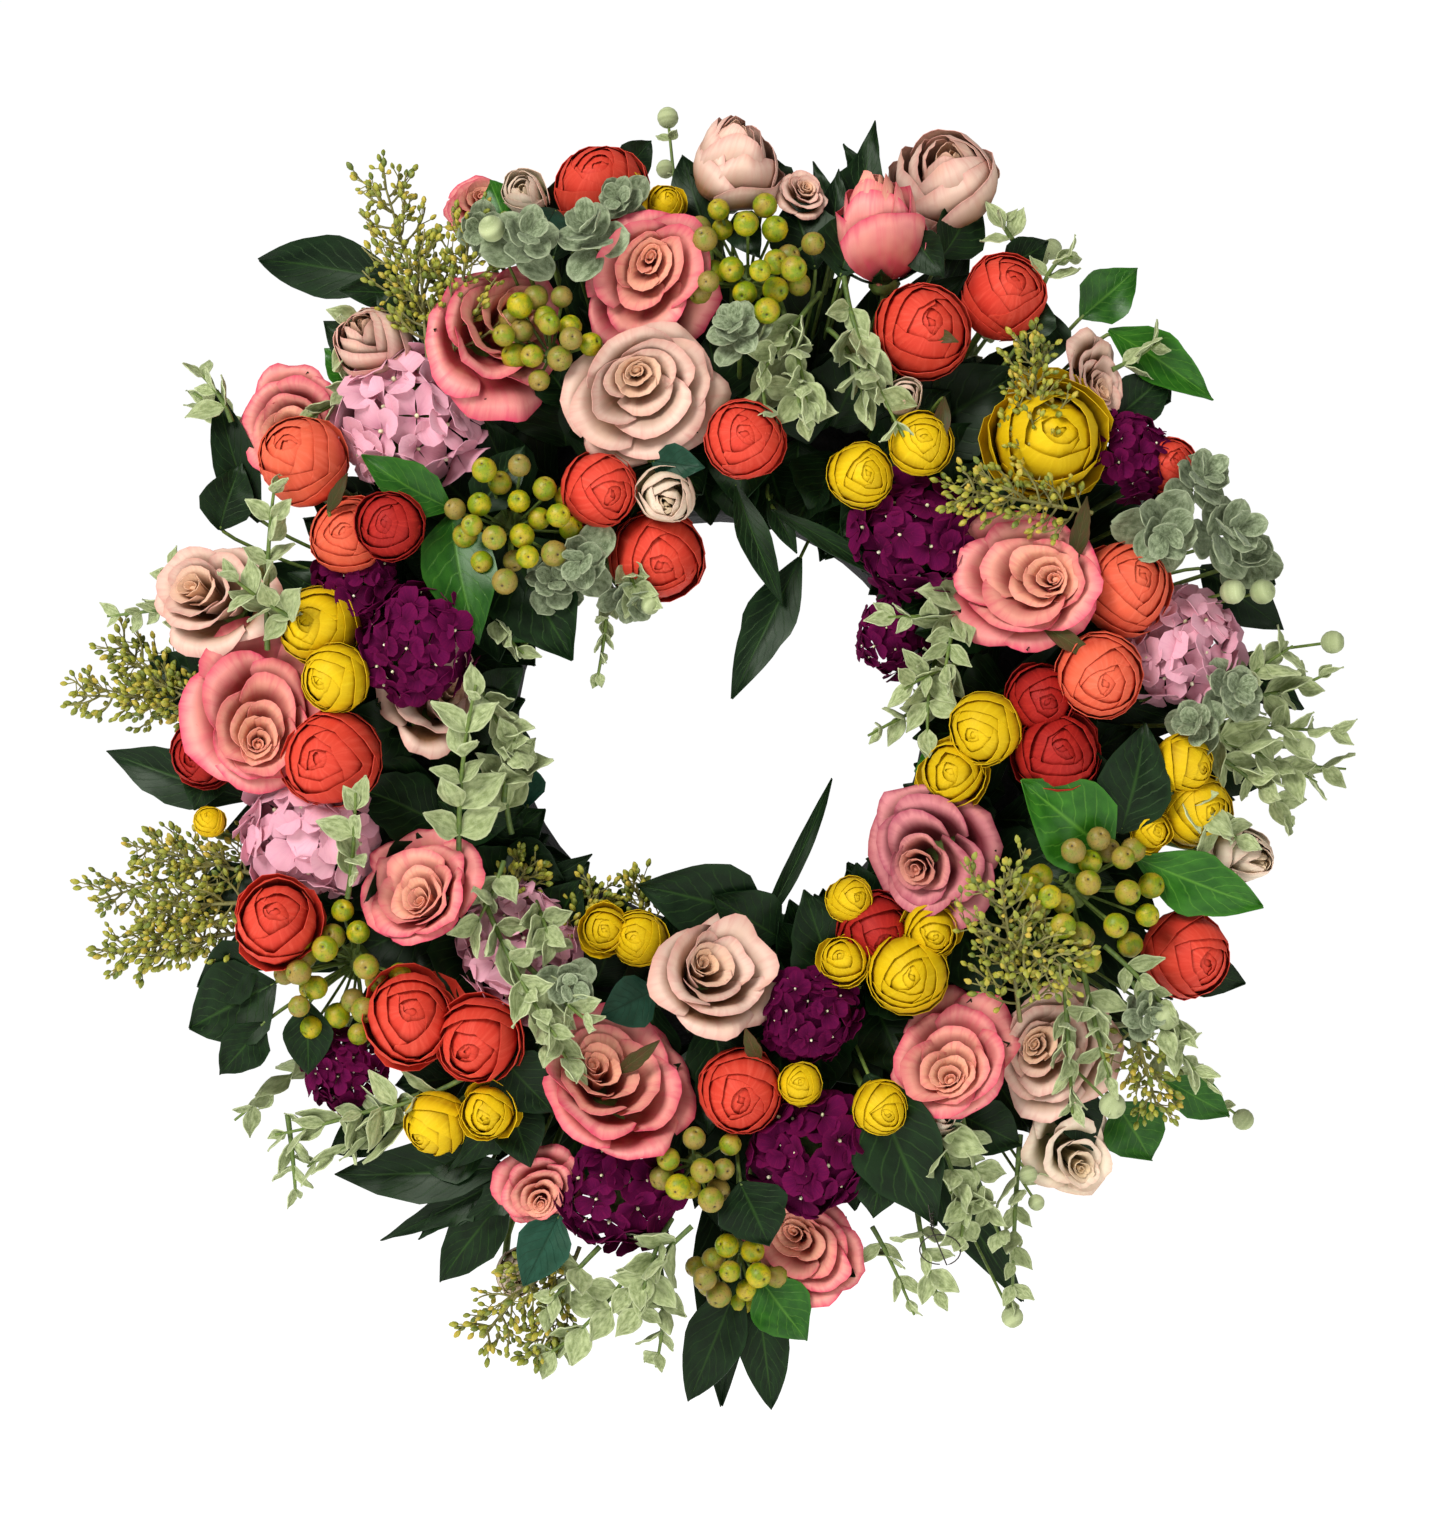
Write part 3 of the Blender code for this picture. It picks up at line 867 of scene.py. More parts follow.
class Bundle:
    """Gathers patches into the mesh of one piece."""

    def __init__(self, finishes: Sequence[Finish]) -> None:
        """Start empty, with the finishes that its patches number."""
        self.finishes = list(finishes)
        self.patches: list[Patch] = []
        self.tints: list[float] = []

    def add(self, patch: Patch, tint: float = 0.0) -> None:
        """Add a patch with its own chance value."""
        self.patches.append(patch)
        self.tints.append(tint)

    def absorb(self, other: Bundle) -> None:
        """Take in another bundle, with its finishes."""
        fresh = [finish for finish in other.finishes if finish not in self.finishes]
        self.finishes += fresh
        for patch, tint in zip(other.patches, other.tints):
            part = self.finishes.index(other.finishes[patch.part])
            self.add(replace(patch, part=part), tint)

    def extent(self) -> tuple[Array, Array]:
        """Find the lowest and highest corners."""
        low = np.min([patch.points.min(axis=0) for patch in self.patches], axis=0)
        high = np.max([patch.points.max(axis=0) for patch in self.patches], axis=0)
        return low, high

    def build(self, name: str, wardrobe: Wardrobe) -> bpy.types.Object:
        """Make the object.

        Args:
            name: What the piece is called.
            wardrobe: Where its materials come from.

        Returns:
            The new object, in the scene.
        """
        starts = np.cumsum([0] + [len(patch.points) for patch in self.patches])
        quads = np.concatenate([p.quads + s for p, s in zip(self.patches, starts)])
        tris = np.concatenate([p.tris + s for p, s in zip(self.patches, starts)])
        slots = [np.full(len(p.quads), p.part) for p in self.patches]
        slots += [np.full(len(p.tris), p.part) for p in self.patches]
        mesh = bpy.data.meshes.new(name)
        points = np.concatenate([patch.points for patch in self.patches])
        mesh.vertices.add(len(points))
        mesh.vertices.foreach_set("co", points.astype(np.float32).ravel())
        corners = np.concatenate((quads.ravel(), tris.ravel()))
        mesh.loops.add(len(corners))
        mesh.loops.foreach_set("vertex_index", corners.astype(np.int32))
        loop_starts = np.concatenate(
            (np.arange(len(quads)) * 4, len(quads) * 4 + np.arange(len(tris)) * 3)
        )
        mesh.polygons.add(len(loop_starts))
        mesh.polygons.foreach_set("loop_start", loop_starts.astype(np.int32))
        mesh.polygons.foreach_set("material_index", np.concatenate(slots).astype(np.int32))
        places = np.concatenate([patch.places for patch in self.patches])
        tints = np.repeat(self.tints, [len(patch.points) for patch in self.patches])
        for finish in self.finishes:
            mesh.materials.append(wardrobe.material(finish))
        mesh.update(calc_edges=True)
        place = mesh.attributes.new("place", "FLOAT_VECTOR", "POINT")
        place.data.foreach_set("vector", places.astype(np.float32).ravel())
        tint = mesh.attributes.new("tint", "FLOAT", "POINT")
        tint.data.foreach_set("value", tints.astype(np.float32))
        mesh.shade_smooth()
        mesh.set_sharp_from_angle(angle=math.radians(62))
        made = bpy.data.objects.new(name, mesh)
        bpy.context.scene.collection.objects.link(made)
        return made


# ---------------------------------------------------------------------------------------------
# Petals, leaves and small parts
# ---------------------------------------------------------------------------------------------


def bezier(points: Sequence[tuple[float, float]], steps: int = 24) -> Array:
    """Sample a cubic curve through its four handles."""
    t = np.linspace(0, 1, steps)[:, None]
    a, b, c, d = (np.array(point) for point in points)
    return (1 - t) ** 3 * a + 3 * (1 - t) ** 2 * t * b + 3 * (1 - t) * t**2 * c + t**3 * d


@dataclass(frozen=True)
class Petal:
    """One petal around a flower's axis, which is local +Z.

    spine is the petal's middle line, as (out from the axis, up) points from foot to tip, and the
    petal wraps round the axis by half_turn to each side. cup lifts its sides, roll turns its rim
    back, and tuck slides one side under its neighbour; these and ruffle are lengths.
    """

    spine: Array
    half_turn: float
    foot: float = 0.6
    corner: float = 0.25
    sharp: float = 2.4
    notch: float = 0.0
    cup: float = 0.0
    ruffle: float = 0.0
    roll: float = 0.0
    tuck: float = 0.0
    twist: float = 0.0
    rows: int = 9
    columns: int = 9

    def patch(self, rng: np.random.Generator, turn: float, layer: float) -> Patch:
        """Cut and bend the petal.

        Args:
            rng: Source of its small chances.
            turn: Where it sits round the axis, in radians.
            layer: 0 in the heart to 1 outside.

        Returns:
            The petal as a thin solid.
        """
        across = np.linspace(-1, 1, self.columns)[None, :]
        rise = np.linspace(0, 1, self.rows)[:, None]
        wave = rng.uniform(0, math.tau, 3)
        reach = 1 - self.corner * np.abs(across) ** self.sharp
        reach = reach - self.notch * np.exp(-((across / 0.2) ** 2))
        reach = reach + 0.012 * np.sin(across * 6.0 + wave[2])
        along = rise * reach
        known = np.linspace(0, 1, len(self.spine))
        out = np.interp(along, known, self.spine[:, 0])
        up = np.interp(along, known, self.spine[:, 1])
        slope = np.gradient(self.spine, axis=0)
        slope /= np.maximum(np.linalg.norm(slope, axis=1, keepdims=True), 1e-9)
        ripple = np.sin(across * 4.4 + wave[0]) + 0.6 * np.sin(across * 8.3 + wave[1])
        crimp = np.sin(across * 14.0 + wave[2]) * along**6 * 0.5
        lift = self.cup * across**2 * along + self.ruffle * (along**2 * ripple + crimp)
        lift = lift - self.roll * (np.abs(across) ** 3 * along + 0.6 * along**6)
        lift = lift + self.tuck * across * smooth(along * 3)
        out = out - np.interp(along, known, slope[:, 1]) * lift
        up = up + np.interp(along, known, slope[:, 0]) * lift
        wrap = self.half_turn * (self.foot + (1 - self.foot) * smooth(along / 0.5))
        angle = turn + self.twist * along + across * wrap
        grid = np.stack((out * np.cos(angle), out * np.sin(angle), up), axis=2)
        spread = np.broadcast_to(across, along.shape)
        height = np.broadcast_to(rise, along.shape)
        places = np.stack((spread, height, np.full(along.shape, layer)), axis=2)
        return Patch.sheet(grid, places, SILK_THICKNESS)


class Outline(Enum):
    """How a leaf's half width, as a share of its widest, changes from foot to tip."""

    OVATE = ((0.0, 0.06), (0.08, 0.35), (0.25, 0.86), (0.42, 1.0), (0.62, 0.82), (0.85, 0.36), (1.0, 0.0))
    ROUND = ((0.0, 0.1), (0.06, 0.48), (0.2, 0.82), (0.5, 1.0), (0.78, 0.84), (0.93, 0.5), (1.0, 0.1))
    LANCE = ((0.0, 0.10), (0.12, 0.42), (0.30, 0.85), (0.45, 1.0), (0.70, 0.72), (0.90, 0.28), (1.0, 0.0))
    STRAP = ((0.0, 0.30), (0.10, 0.70), (0.30, 1.0), (0.55, 0.95), (0.80, 0.60), (0.93, 0.28), (1.0, 0.0))
    IVY = ((0.0, 0.10), (0.06, 0.62), (0.16, 0.98), (0.27, 0.60), (0.42, 0.70), (0.50, 0.46), (1.0, 0.0))

    def half_width(self, along: Array) -> Array:
        """Read the outline at shares of the length."""
        stops = np.array(self.value)
        return np.interp(along, stops[:, 0], stops[:, 1])


@dataclass(frozen=True)
class Leaf:
    """One leaf along local +Y with its face to +Z. Curl and fold are in radians."""

    length: float
    width: float
    outline: Outline = Outline.OVATE
    curl: float = 0.6
    fold: float = 0.35
    teeth: int = 0
    wave: float = 0.04
    rows: int = 13
    columns: int = 7

    def patch(self, rng: np.random.Generator, layer: float = 1.0, part: int = 0) -> Patch:
        """Cut and bend the leaf.

        Args:
            rng: Source of its small chances.
            layer: What the finish reads as its layer.
            part: The number of its finish on the piece.

        Returns:
            The leaf as a thin solid.
        """
        across = np.linspace(-1, 1, self.columns)[None, :]
        along = np.linspace(0, 1, self.rows)[:, None]
        width = self.outline.half_width(along) * self.width / 2
        if self.teeth:
            saw = (along * self.teeth) % 1.0
            width = width * (1 + 0.10 * (1 - saw) * smooth(along * 8) * smooth((1 - along) * 6))
        width = np.maximum(width, 0.004 * self.length)
        side = across * width
        phase = rng.uniform(0, math.tau, 2)
        sweep = rng.normal(0, 0.05) * self.length * along**2
        lift = np.abs(side) * math.tan(self.fold)
        lift = lift + self.wave * self.width * np.sin(along * 9 + phase[0] + across * 2.2) * along
        lift = lift + 0.5 * self.wave * self.width * np.abs(across) * np.sin(along * 17 + phase[1])
        angle = self.curl * along**1.3
        step = np.diff(angle, axis=0, prepend=angle[:1])
        heading = np.cumsum(step, axis=0)
        gap = self.length / (self.rows - 1)
        ahead = np.concatenate((np.zeros((1, 1)), np.cumsum(np.cos(heading[1:]) * gap, axis=0)))
        drop = np.concatenate((np.zeros((1, 1)), np.cumsum(np.sin(heading[1:]) * gap, axis=0)))
        x = side + sweep
        y = ahead + lift * np.sin(heading)
        z = -drop + lift * np.cos(heading)
        grid = np.stack(np.broadcast_arrays(x, y, z), axis=2)
        shape = (self.rows, self.columns)
        spread, height = np.broadcast_to(across, shape), np.broadcast_to(along, shape)
        places = np.stack((spread, height, np.full(shape, layer)), axis=2)
        return Patch.sheet(grid, places, LEAF_THICKNESS, part)


def berry_patch(radius: float, steps: int = 14, part: int = 0) -> Patch:
    """Turn a berry with a small crown dimple at local +Z."""
    profile = [(0.0, 0.80), (0.14, 0.83), (0.24, 0.93)]
    for degrees in (65, 45, 20, -5, -30, -55, -75):
        angle = math.radians(degrees)
        profile.append((math.cos(angle), math.sin(angle)))
    profile.append((0.0, -1.0))
    return Patch.turned([(r * radius, h * radius) for r, h in profile], steps, part)


def bud_patch(length: float, width: float, steps: int = 5, part: int = 0) -> Patch:
    """Turn a small pointed bud that stands on local zero."""
    profile = ((0.0, 1.0), (0.28, 0.86), (0.5, 0.55), (0.42, 0.25), (0.16, 0.04), (0.0, 0.0))
    return Patch.turned([(r * width, h * length) for r, h in profile], steps, part)


def curve_between(start: Array, middle: Array, end: Array, steps: int) -> Array:
    """Sample a smooth curve that starts, bends towards a middle point and ends."""
    t = np.linspace(0, 1, steps)[:, None]
    return (1 - t) ** 2 * start + 2 * (1 - t) * t * middle + t**2 * end


# ---------------------------------------------------------------------------------------------
# Heads
# ---------------------------------------------------------------------------------------------


@dataclass(frozen=True)
class Site:
    """Where a head grows: its foot, the middle of the head, where it faces and its open radius."""

    foot: Array
    centre: Array
    aim: Array
    radius: float

    def stance(self, rng: np.random.Generator) -> Stance:
        """Stand the head at a chance turn."""
        return Stance.facing(self.centre, self.aim, rng.uniform(0, math.tau))

    def stem(self, below: float, thickness: float) -> Patch:
        """Bend the stem from the foot to the back of the head."""
        back = self.centre - self.aim * below
        middle = back - self.aim * (0.4 * float(np.linalg.norm(back - self.foot)))
        path = curve_between(self.foot, middle, back, 7)
        return Patch.tube(path, np.linspace(0.85, 1.0, 7) * thickness, 7)


@dataclass(frozen=True)
class Whorl:
    """One turn of petals; sizes are shares of the head's radius.

    belly is how far out the petals stand below their rims; 0 lets them pass close under the rims of
    the whorl inside them.
    """

    count: int
    tip_out: float
    tip_up: float
    layer: float
    ruffle: float = 0.006
    roll: float = 0.0
    belly: float = 0.0


OPEN_ROSE = (
    Whorl(2, 0.08, 0.30, 0.04),
    Whorl(3, 0.16, 0.36, 0.12, 0.010),
    Whorl(3, 0.28, 0.34, 0.22, 0.018),
    Whorl(3, 0.45, 0.28, 0.40, 0.030),
    Whorl(3, 0.66, 0.32, 0.58, 0.040, 0.02),
    Whorl(4, 0.87, 0.22, 0.78, 0.046, 0.06),
    Whorl(4, 1.08, -0.04, 1.00, 0.052, 0.10),
)
CUPPED_ROSE = (
    Whorl(2, 0.08, 0.32, 0.06),
    Whorl(3, 0.18, 0.40, 0.14, 0.010),
    Whorl(3, 0.34, 0.38, 0.30, 0.020),
    Whorl(3, 0.54, 0.46, 0.50, 0.030, 0.01),
    Whorl(3, 0.80, 0.42, 0.74, 0.040, 0.04),
    Whorl(4, 1.03, 0.10, 1.00, 0.046, 0.10),
)
TALL_ROSE = (
    Whorl(2, 0.03, 1.44, 0.10, 0.006, 0.0, 0.14),
    Whorl(3, 0.08, 1.58, 0.24, 0.010, 0.0, 0.27),
    Whorl(3, 0.16, 1.60, 0.42, 0.018, 0.0, 0.40),
    Whorl(3, 0.27, 1.50, 0.60, 0.028, 0.02, 0.52),
    Whorl(3, 0.44, 1.30, 0.80, 0.036, 0.04, 0.62),
    Whorl(3, 0.66, 0.92, 1.00, 0.042, 0.08, 0.70),
)
BUD = (
    Whorl(2, 0.04, 1.00, 0.10, 0.006, 0.0, 0.20),
    Whorl(3, 0.10, 1.12, 0.24, 0.010, 0.0, 0.40),
    Whorl(3, 0.20, 1.12, 0.42, 0.016, 0.0, 0.58),
    Whorl(3, 0.36, 1.02, 0.62, 0.024, 0.02, 0.74),
    Whorl(3, 0.58, 0.82, 0.82, 0.032, 0.04, 0.86),
    Whorl(3, 0.86, 0.46, 1.00, 0.038, 0.08, 0.94),
)


@dataclass(frozen=True)
class Bloom:
    """A head of silk petals on a stem; sizes that have no unit are shares of its radius."""

    finish: Finish
    sepals: int = 5
    sepal_finish: Finish = Finish.DARK_LEAF
    stem_radius: float = 2.0 * MM
    back: float = 0.5
    crumple: float = 0.0
    squash: float = 0.0

    def plant(self, site: Site, rng: np.random.Generator) -> Bundle:
        """Grow the whole pick.

        Args:
            site: Where it grows.
            rng: Source of its chances.

        Returns:
            The pick's patches, in world axes.
        """
        bundle = Bundle((self.finish, self.sepal_finish, Finish.STALK, Finish.POLLEN))
        stance = site.stance(rng)
        crumple = Crumple.of_head(site.radius, self.crumple, rng)
        squash = np.array((1 + self.squash, 1 - self.squash, 1.0))
        for patch, tint in self.head(site.radius, rng):
            points = crumple.bent(patch.points) * squash
            bundle.add(replace(patch, points=points).moved(stance), tint)
        self.add_calyx(bundle, stance, site, rng)
        stem = site.stem(self.back * site.radius, self.stem_radius)
        bundle.add(replace(stem, part=2), rng.uniform())
        return bundle

    def head(self, radius: float, rng: np.random.Generator) -> Iterable[tuple[Patch, float]]:
        """Make the head's patches about local +Z; each kind of flower has its own."""
        raise NotImplementedError

    def add_calyx(
        self, bundle: Bundle, stance: Stance, site: Site, rng: np.random.Generator
    ) -> None:
        """Add the cup and the sepals behind the petals."""
        depth = self.back * site.radius
        cup = [(0.0, 0.16), (0.26, 0.12), (0.30, 0.0), (0.20, -0.14), (0.0, -0.20)]
        shape = [(r * site.radius, h * site.radius - depth) for r, h in cup]
        bundle.add(replace(Patch.turned(shape, 9), part=2).moved(stance), 0.5)
        for number in range(self.sepals):
            angle = math.tau * (number + rng.uniform(-0.2, 0.2)) / self.sepals
            outward = np.array((math.cos(angle), math.sin(angle), 0.25))
            foot = np.array((0.0, 0.0, -depth)) + outward * 0.16 * site.radius
            leaf = Leaf(0.85 * site.radius, 0.36 * site.radius, Outline.LANCE, -0.7, 0.2, 5)
            stand = Stance.leaf(foot, outward, np.array((0.0, 0.0, 1.0)))
            bundle.add(leaf.patch(rng, 1.0, 1).moved(stand).moved(stance), rng.uniform())


@dataclass(frozen=True)
class Rose(Bloom):
    """A many-petalled rose. off_centre pushes its heart to one side."""

    whorls: tuple[Whorl, ...] = OPEN_ROSE
    foot_drop: float = -0.46
    off_centre: float = 0.42
    overlap: float = 1.24
    back: float = 0.5
    crumple: float = 0.055
    squash: float = 0.08

    def head(self, radius: float, rng: np.random.Generator) -> Iterable[tuple[Patch, float]]:
        """Make the petals, whorl by whorl."""
        start = rng.uniform(0, math.tau)
        lean = rng.uniform(0.06, 0.16)
        aside = rng.uniform(0, math.tau)
        drift = np.array((math.cos(aside), math.sin(aside), 0.0)) * self.off_centre * radius
        inner = (0.03, self.whorls[0].tip_up)
        top = self.whorls[0].tip_up - 0.05
        egg = [(0.0, top), (0.05, top - 0.04), (0.08, top - 0.2), (0.06, top - 0.5), (0.0, top - 0.6)]
        core = Patch.turned([(r * radius, h * radius) for r, h in egg], 8)
        yield replace(core, points=core.points + drift), 0.5
        for number, whorl in enumerate(self.whorls):
            start += GOLDEN_TURN
            shift = drift * (1 - whorl.layer)
            loose = 0.3 + number / 8
            outer = number > 2
            rounding = 0.40 if whorl.belly else rng.uniform(0.20, 0.38)
            for petal in range(whorl.count):
                turn = start + math.tau * (petal + rng.uniform(-0.12, 0.12)) / whorl.count
                out = whorl.tip_out * (1 + rng.uniform(-0.11, 0.09) * loose)
                up = whorl.tip_up + rng.uniform(-0.09, 0.09) * loose
                up += lean * math.cos(turn - aside) * whorl.layer
                blade = Petal(
                    self.spine(whorl, inner, out, up) * radius,
                    self.overlap * math.pi / whorl.count,
                    corner=rounding if outer or whorl.belly else 0.12,
                    sharp=2.2,
                    notch=0.07 * rng.uniform() if outer else 0.0,
                    cup=0.09 * radius * rng.uniform(-0.8, 1.0) * whorl.layer,
                    ruffle=whorl.ruffle * radius,
                    roll=whorl.roll * radius * rng.uniform(0.4, 1.8),
                    tuck=0.030 * radius * (0.4 + whorl.layer),
                    twist=rng.normal(0, 0.05),
                    rows=9 if outer else 7,
                    columns=13 if outer else 7,
                )
                patch = blade.patch(rng, turn, whorl.layer)
                yield replace(patch, points=patch.points + shift), rng.uniform()
            inner = (whorl.tip_out, whorl.tip_up)

    def spine(self, whorl: Whorl, inner: tuple[float, float], out: float, up: float) -> Array:
        """Draw a petal's middle line, in shares of the radius.

        Args:
            whorl: The petal's whorl.
            inner: How far out and up the rims of the whorl inside it are.
            out: How far out its own tip is.
            up: How high its tip is.

        Returns:
            The line from foot to tip.
        """
        belly = whorl.belly or 0.84 * inner[0]
        foot = (0.02 + 0.10 * belly, self.foot_drop)
        if whorl.belly:
            return bezier((foot, (belly * 1.25, self.foot_drop + 0.14), (belly, up - 0.14), (out, up)))
        low = (belly * 0.9 + 0.02, self.foot_drop + 0.30)
        return bezier((foot, low, (belly + 0.02, inner[1] - 0.02), (out, up)))


@dataclass(frozen=True)
class Ranunculus(Bloom):
    """A ball of broad petals wrapped round a tight heart. gape opens the outer ones."""

    gape: float = 0.0
    back: float = 0.92
    crumple: float = 0.03
    sepals: int = 4
    sepal_finish: Finish = Finish.SEPAL

    def head(self, radius: float, rng: np.random.Generator) -> Iterable[tuple[Patch, float]]:
        """Wrap petals on nested balls, whose tops lie close together."""
        start = rng.uniform(0, math.tau)
        shells = (
            (2, 0.58, 6, 14),
            (2, 0.70, 15, 18),
            (3, 0.81, 27, 26),
            (3, 0.90, 43, 34),
            (3, 0.96, 63, 40),
            (3, 1.00, 86, 40),
        )
        under = 152
        rise = np.linspace(0, 1, 20)
        egg = [(0.0, 0.80), (0.16, 0.76), (0.34, 0.60), (0.42, 0.2), (0.3, -0.2), (0.0, -0.3)]
        yield Patch.turned([(r * radius, h * radius) for r, h in egg], 9), 0.5
        for number, (count, size, rim, drop) in enumerate(shells):
            start += GOLDEN_TURN
            for petal in range(count):
                turn = start + math.tau * (petal + rng.uniform(-0.12, 0.12)) / count
                rim_angle = rim * (1 + 0.25 * self.gape) * rng.uniform(0.85, 1.15)
                ball = size * radius * rng.uniform(0.985, 1.015)
                angles = np.radians(under + (rim_angle - under) * rise)
                flare = rng.uniform(0.015, 0.05) + self.gape * 0.30 * number / 5 * rng.uniform(0.4, 1.3)
                stand = ball * (1 + flare * smooth((rise - 0.6) / 0.4))
                lift = 0.56 * radius * (1 - size)
                blade = Petal(
                    np.stack((np.sin(angles) * stand, np.cos(angles) * stand + lift), axis=1),
                    1.35 * math.pi / count,
                    corner=drop / (under - rim_angle),
                    sharp=2.0,
                    notch=0.02,
                    ruffle=(0.008 + 0.03 * self.gape) * radius,
                    roll=0.02 * radius * rng.uniform(-0.3, 1.0),
                    tuck=0.022 * radius,
                    rows=10,
                    columns=9,
                )
                yield blade.patch(rng, turn, (number + 1) / len(shells)), rng.uniform()


@dataclass(frozen=True)
class Hydrangea(Bloom):
    """A dome of four-petalled florets."""

    florets: int = 26
    floret_size: float = 0.42
    back: float = 0.55
    sepals: int = 0
    crumple: float = 0.04

    def head(self, radius: float, rng: np.random.Generator) -> Iterable[tuple[Patch, float]]:
        """Spread florets over the dome."""
        knot = [(0.0, 0.30), (0.42, 0.22), (0.52, -0.02), (0.30, -0.34), (0.0, -0.50)]
        shape = [(r * radius, h * radius) for r, h in knot]
        yield replace(Patch.turned(shape, 10), part=2), 0.6
        for number in range(self.florets):
            share = (number + 0.5) / self.florets
            polar = math.acos(1 - 1.18 * share) + rng.normal(0, 0.06)
            turn = GOLDEN_TURN * number + rng.normal(0, 0.12)
            outward = np.array(
                (math.sin(polar) * math.cos(turn), math.sin(polar) * math.sin(turn), math.cos(polar))
            )
            squat = np.array((1.0, 1.0, 0.78))
            reach = 0.80 * radius * rng.uniform(0.88, 1.04)
            middle = outward * squat * reach
            aim = unit(outward + rng.normal(0, 0.22, 3))
            size = self.floret_size * radius * rng.uniform(0.88, 1.12)
            yield from self.floret(Stance.facing(middle, aim, rng.uniform(0, math.tau)), size, rng)

    def floret(
        self, stance: Stance, size: float, rng: np.random.Generator
    ) -> Iterable[tuple[Patch, float]]:
        """Cut one floret with its bead."""
        tint = rng.uniform()
        dish = rng.uniform(0.02, 0.30)
        for petal in range(4):
            spine = bezier(((0.06, -0.02), (0.35, 0.02), (0.7, dish), (1.0, dish * 0.8))) * size
            blade = Petal(
                spine,
                0.80 * rng.uniform(0.92, 1.06),
                foot=0.75,
                corner=0.36,
                sharp=2.6,
                notch=0.04,
                cup=rng.uniform(-0.10, 0.28) * size,
                ruffle=0.035 * size,
                rows=7,
                columns=7,
            )
            turn = math.tau * (petal + rng.uniform(-0.05, 0.05)) / 4
            yield blade.patch(rng, turn, 1.0).moved(stance), tint
        bead = Patch.turned([(0, 0.12), (0.06, 0.08), (0.07, 0.0), (0.04, -0.06), (0, -0.1)], 6)
        yield replace(bead, part=3).moved(stance, size), tint


@dataclass(frozen=True)
class Berries(Bloom):
    """A loose cluster of berries, each on its own stalk."""

    finish: Finish = Finish.BERRY
    count: int = 22
    berry_radius: float = 6.3 * MM
    back: float = 0.7
    sepals: int = 0

    def head(self, radius: float, rng: np.random.Generator) -> Iterable[tuple[Patch, float]]:
        """Spread berries so that they keep clear of each other."""
        found: list[Array] = []
        root = np.array((0.0, 0.0, -self.back * radius))
        for _ in range(900):
            if len(found) == self.count:
                break
            polar = math.acos(rng.uniform(-0.25, 1.0))
            turn = rng.uniform(0, math.tau)
            outward = np.array(
                (math.sin(polar) * math.cos(turn), math.sin(polar) * math.sin(turn), math.cos(polar))
            )
            point = outward * np.array((1.0, 1.0, 0.72)) * radius * rng.uniform(0.45, 1.0)
            gaps = [float(np.linalg.norm(point - other)) for other in found]
            if not gaps or min(gaps) > 1.9 * self.berry_radius:
                found.append(point)
        for point in found:
            size = self.berry_radius * rng.uniform(0.86, 1.06)
            aim = unit(point - root + rng.normal(0, 0.2, 3) * radius)
            stance = Stance.facing(point, aim, rng.uniform(0, math.tau))
            yield berry_patch(size).moved(stance), rng.uniform()
            back = point - aim * size * 0.9
            path = curve_between(root, (root + back) / 2 + np.array((0, 0, -0.1)) * radius, back, 6)
            yield Patch.tube(path, np.full(6, 0.8 * MM), 5, 2), rng.uniform()


# ---------------------------------------------------------------------------------------------
# Foliage
# ---------------------------------------------------------------------------------------------


@dataclass(frozen=True)
class Run:
    """A stem from a root to a tip that bows sideways and forward in between."""

    root: Array
    tip: Array
    bow: Array

    def path(self, steps: int) -> Array:
        """Sample the stem."""
        return curve_between(self.root, (self.root + self.tip) / 2 + self.bow, self.tip, steps)

    def length(self) -> float:
        """Measure from root to tip."""
        return float(np.linalg.norm(self.tip - self.root))


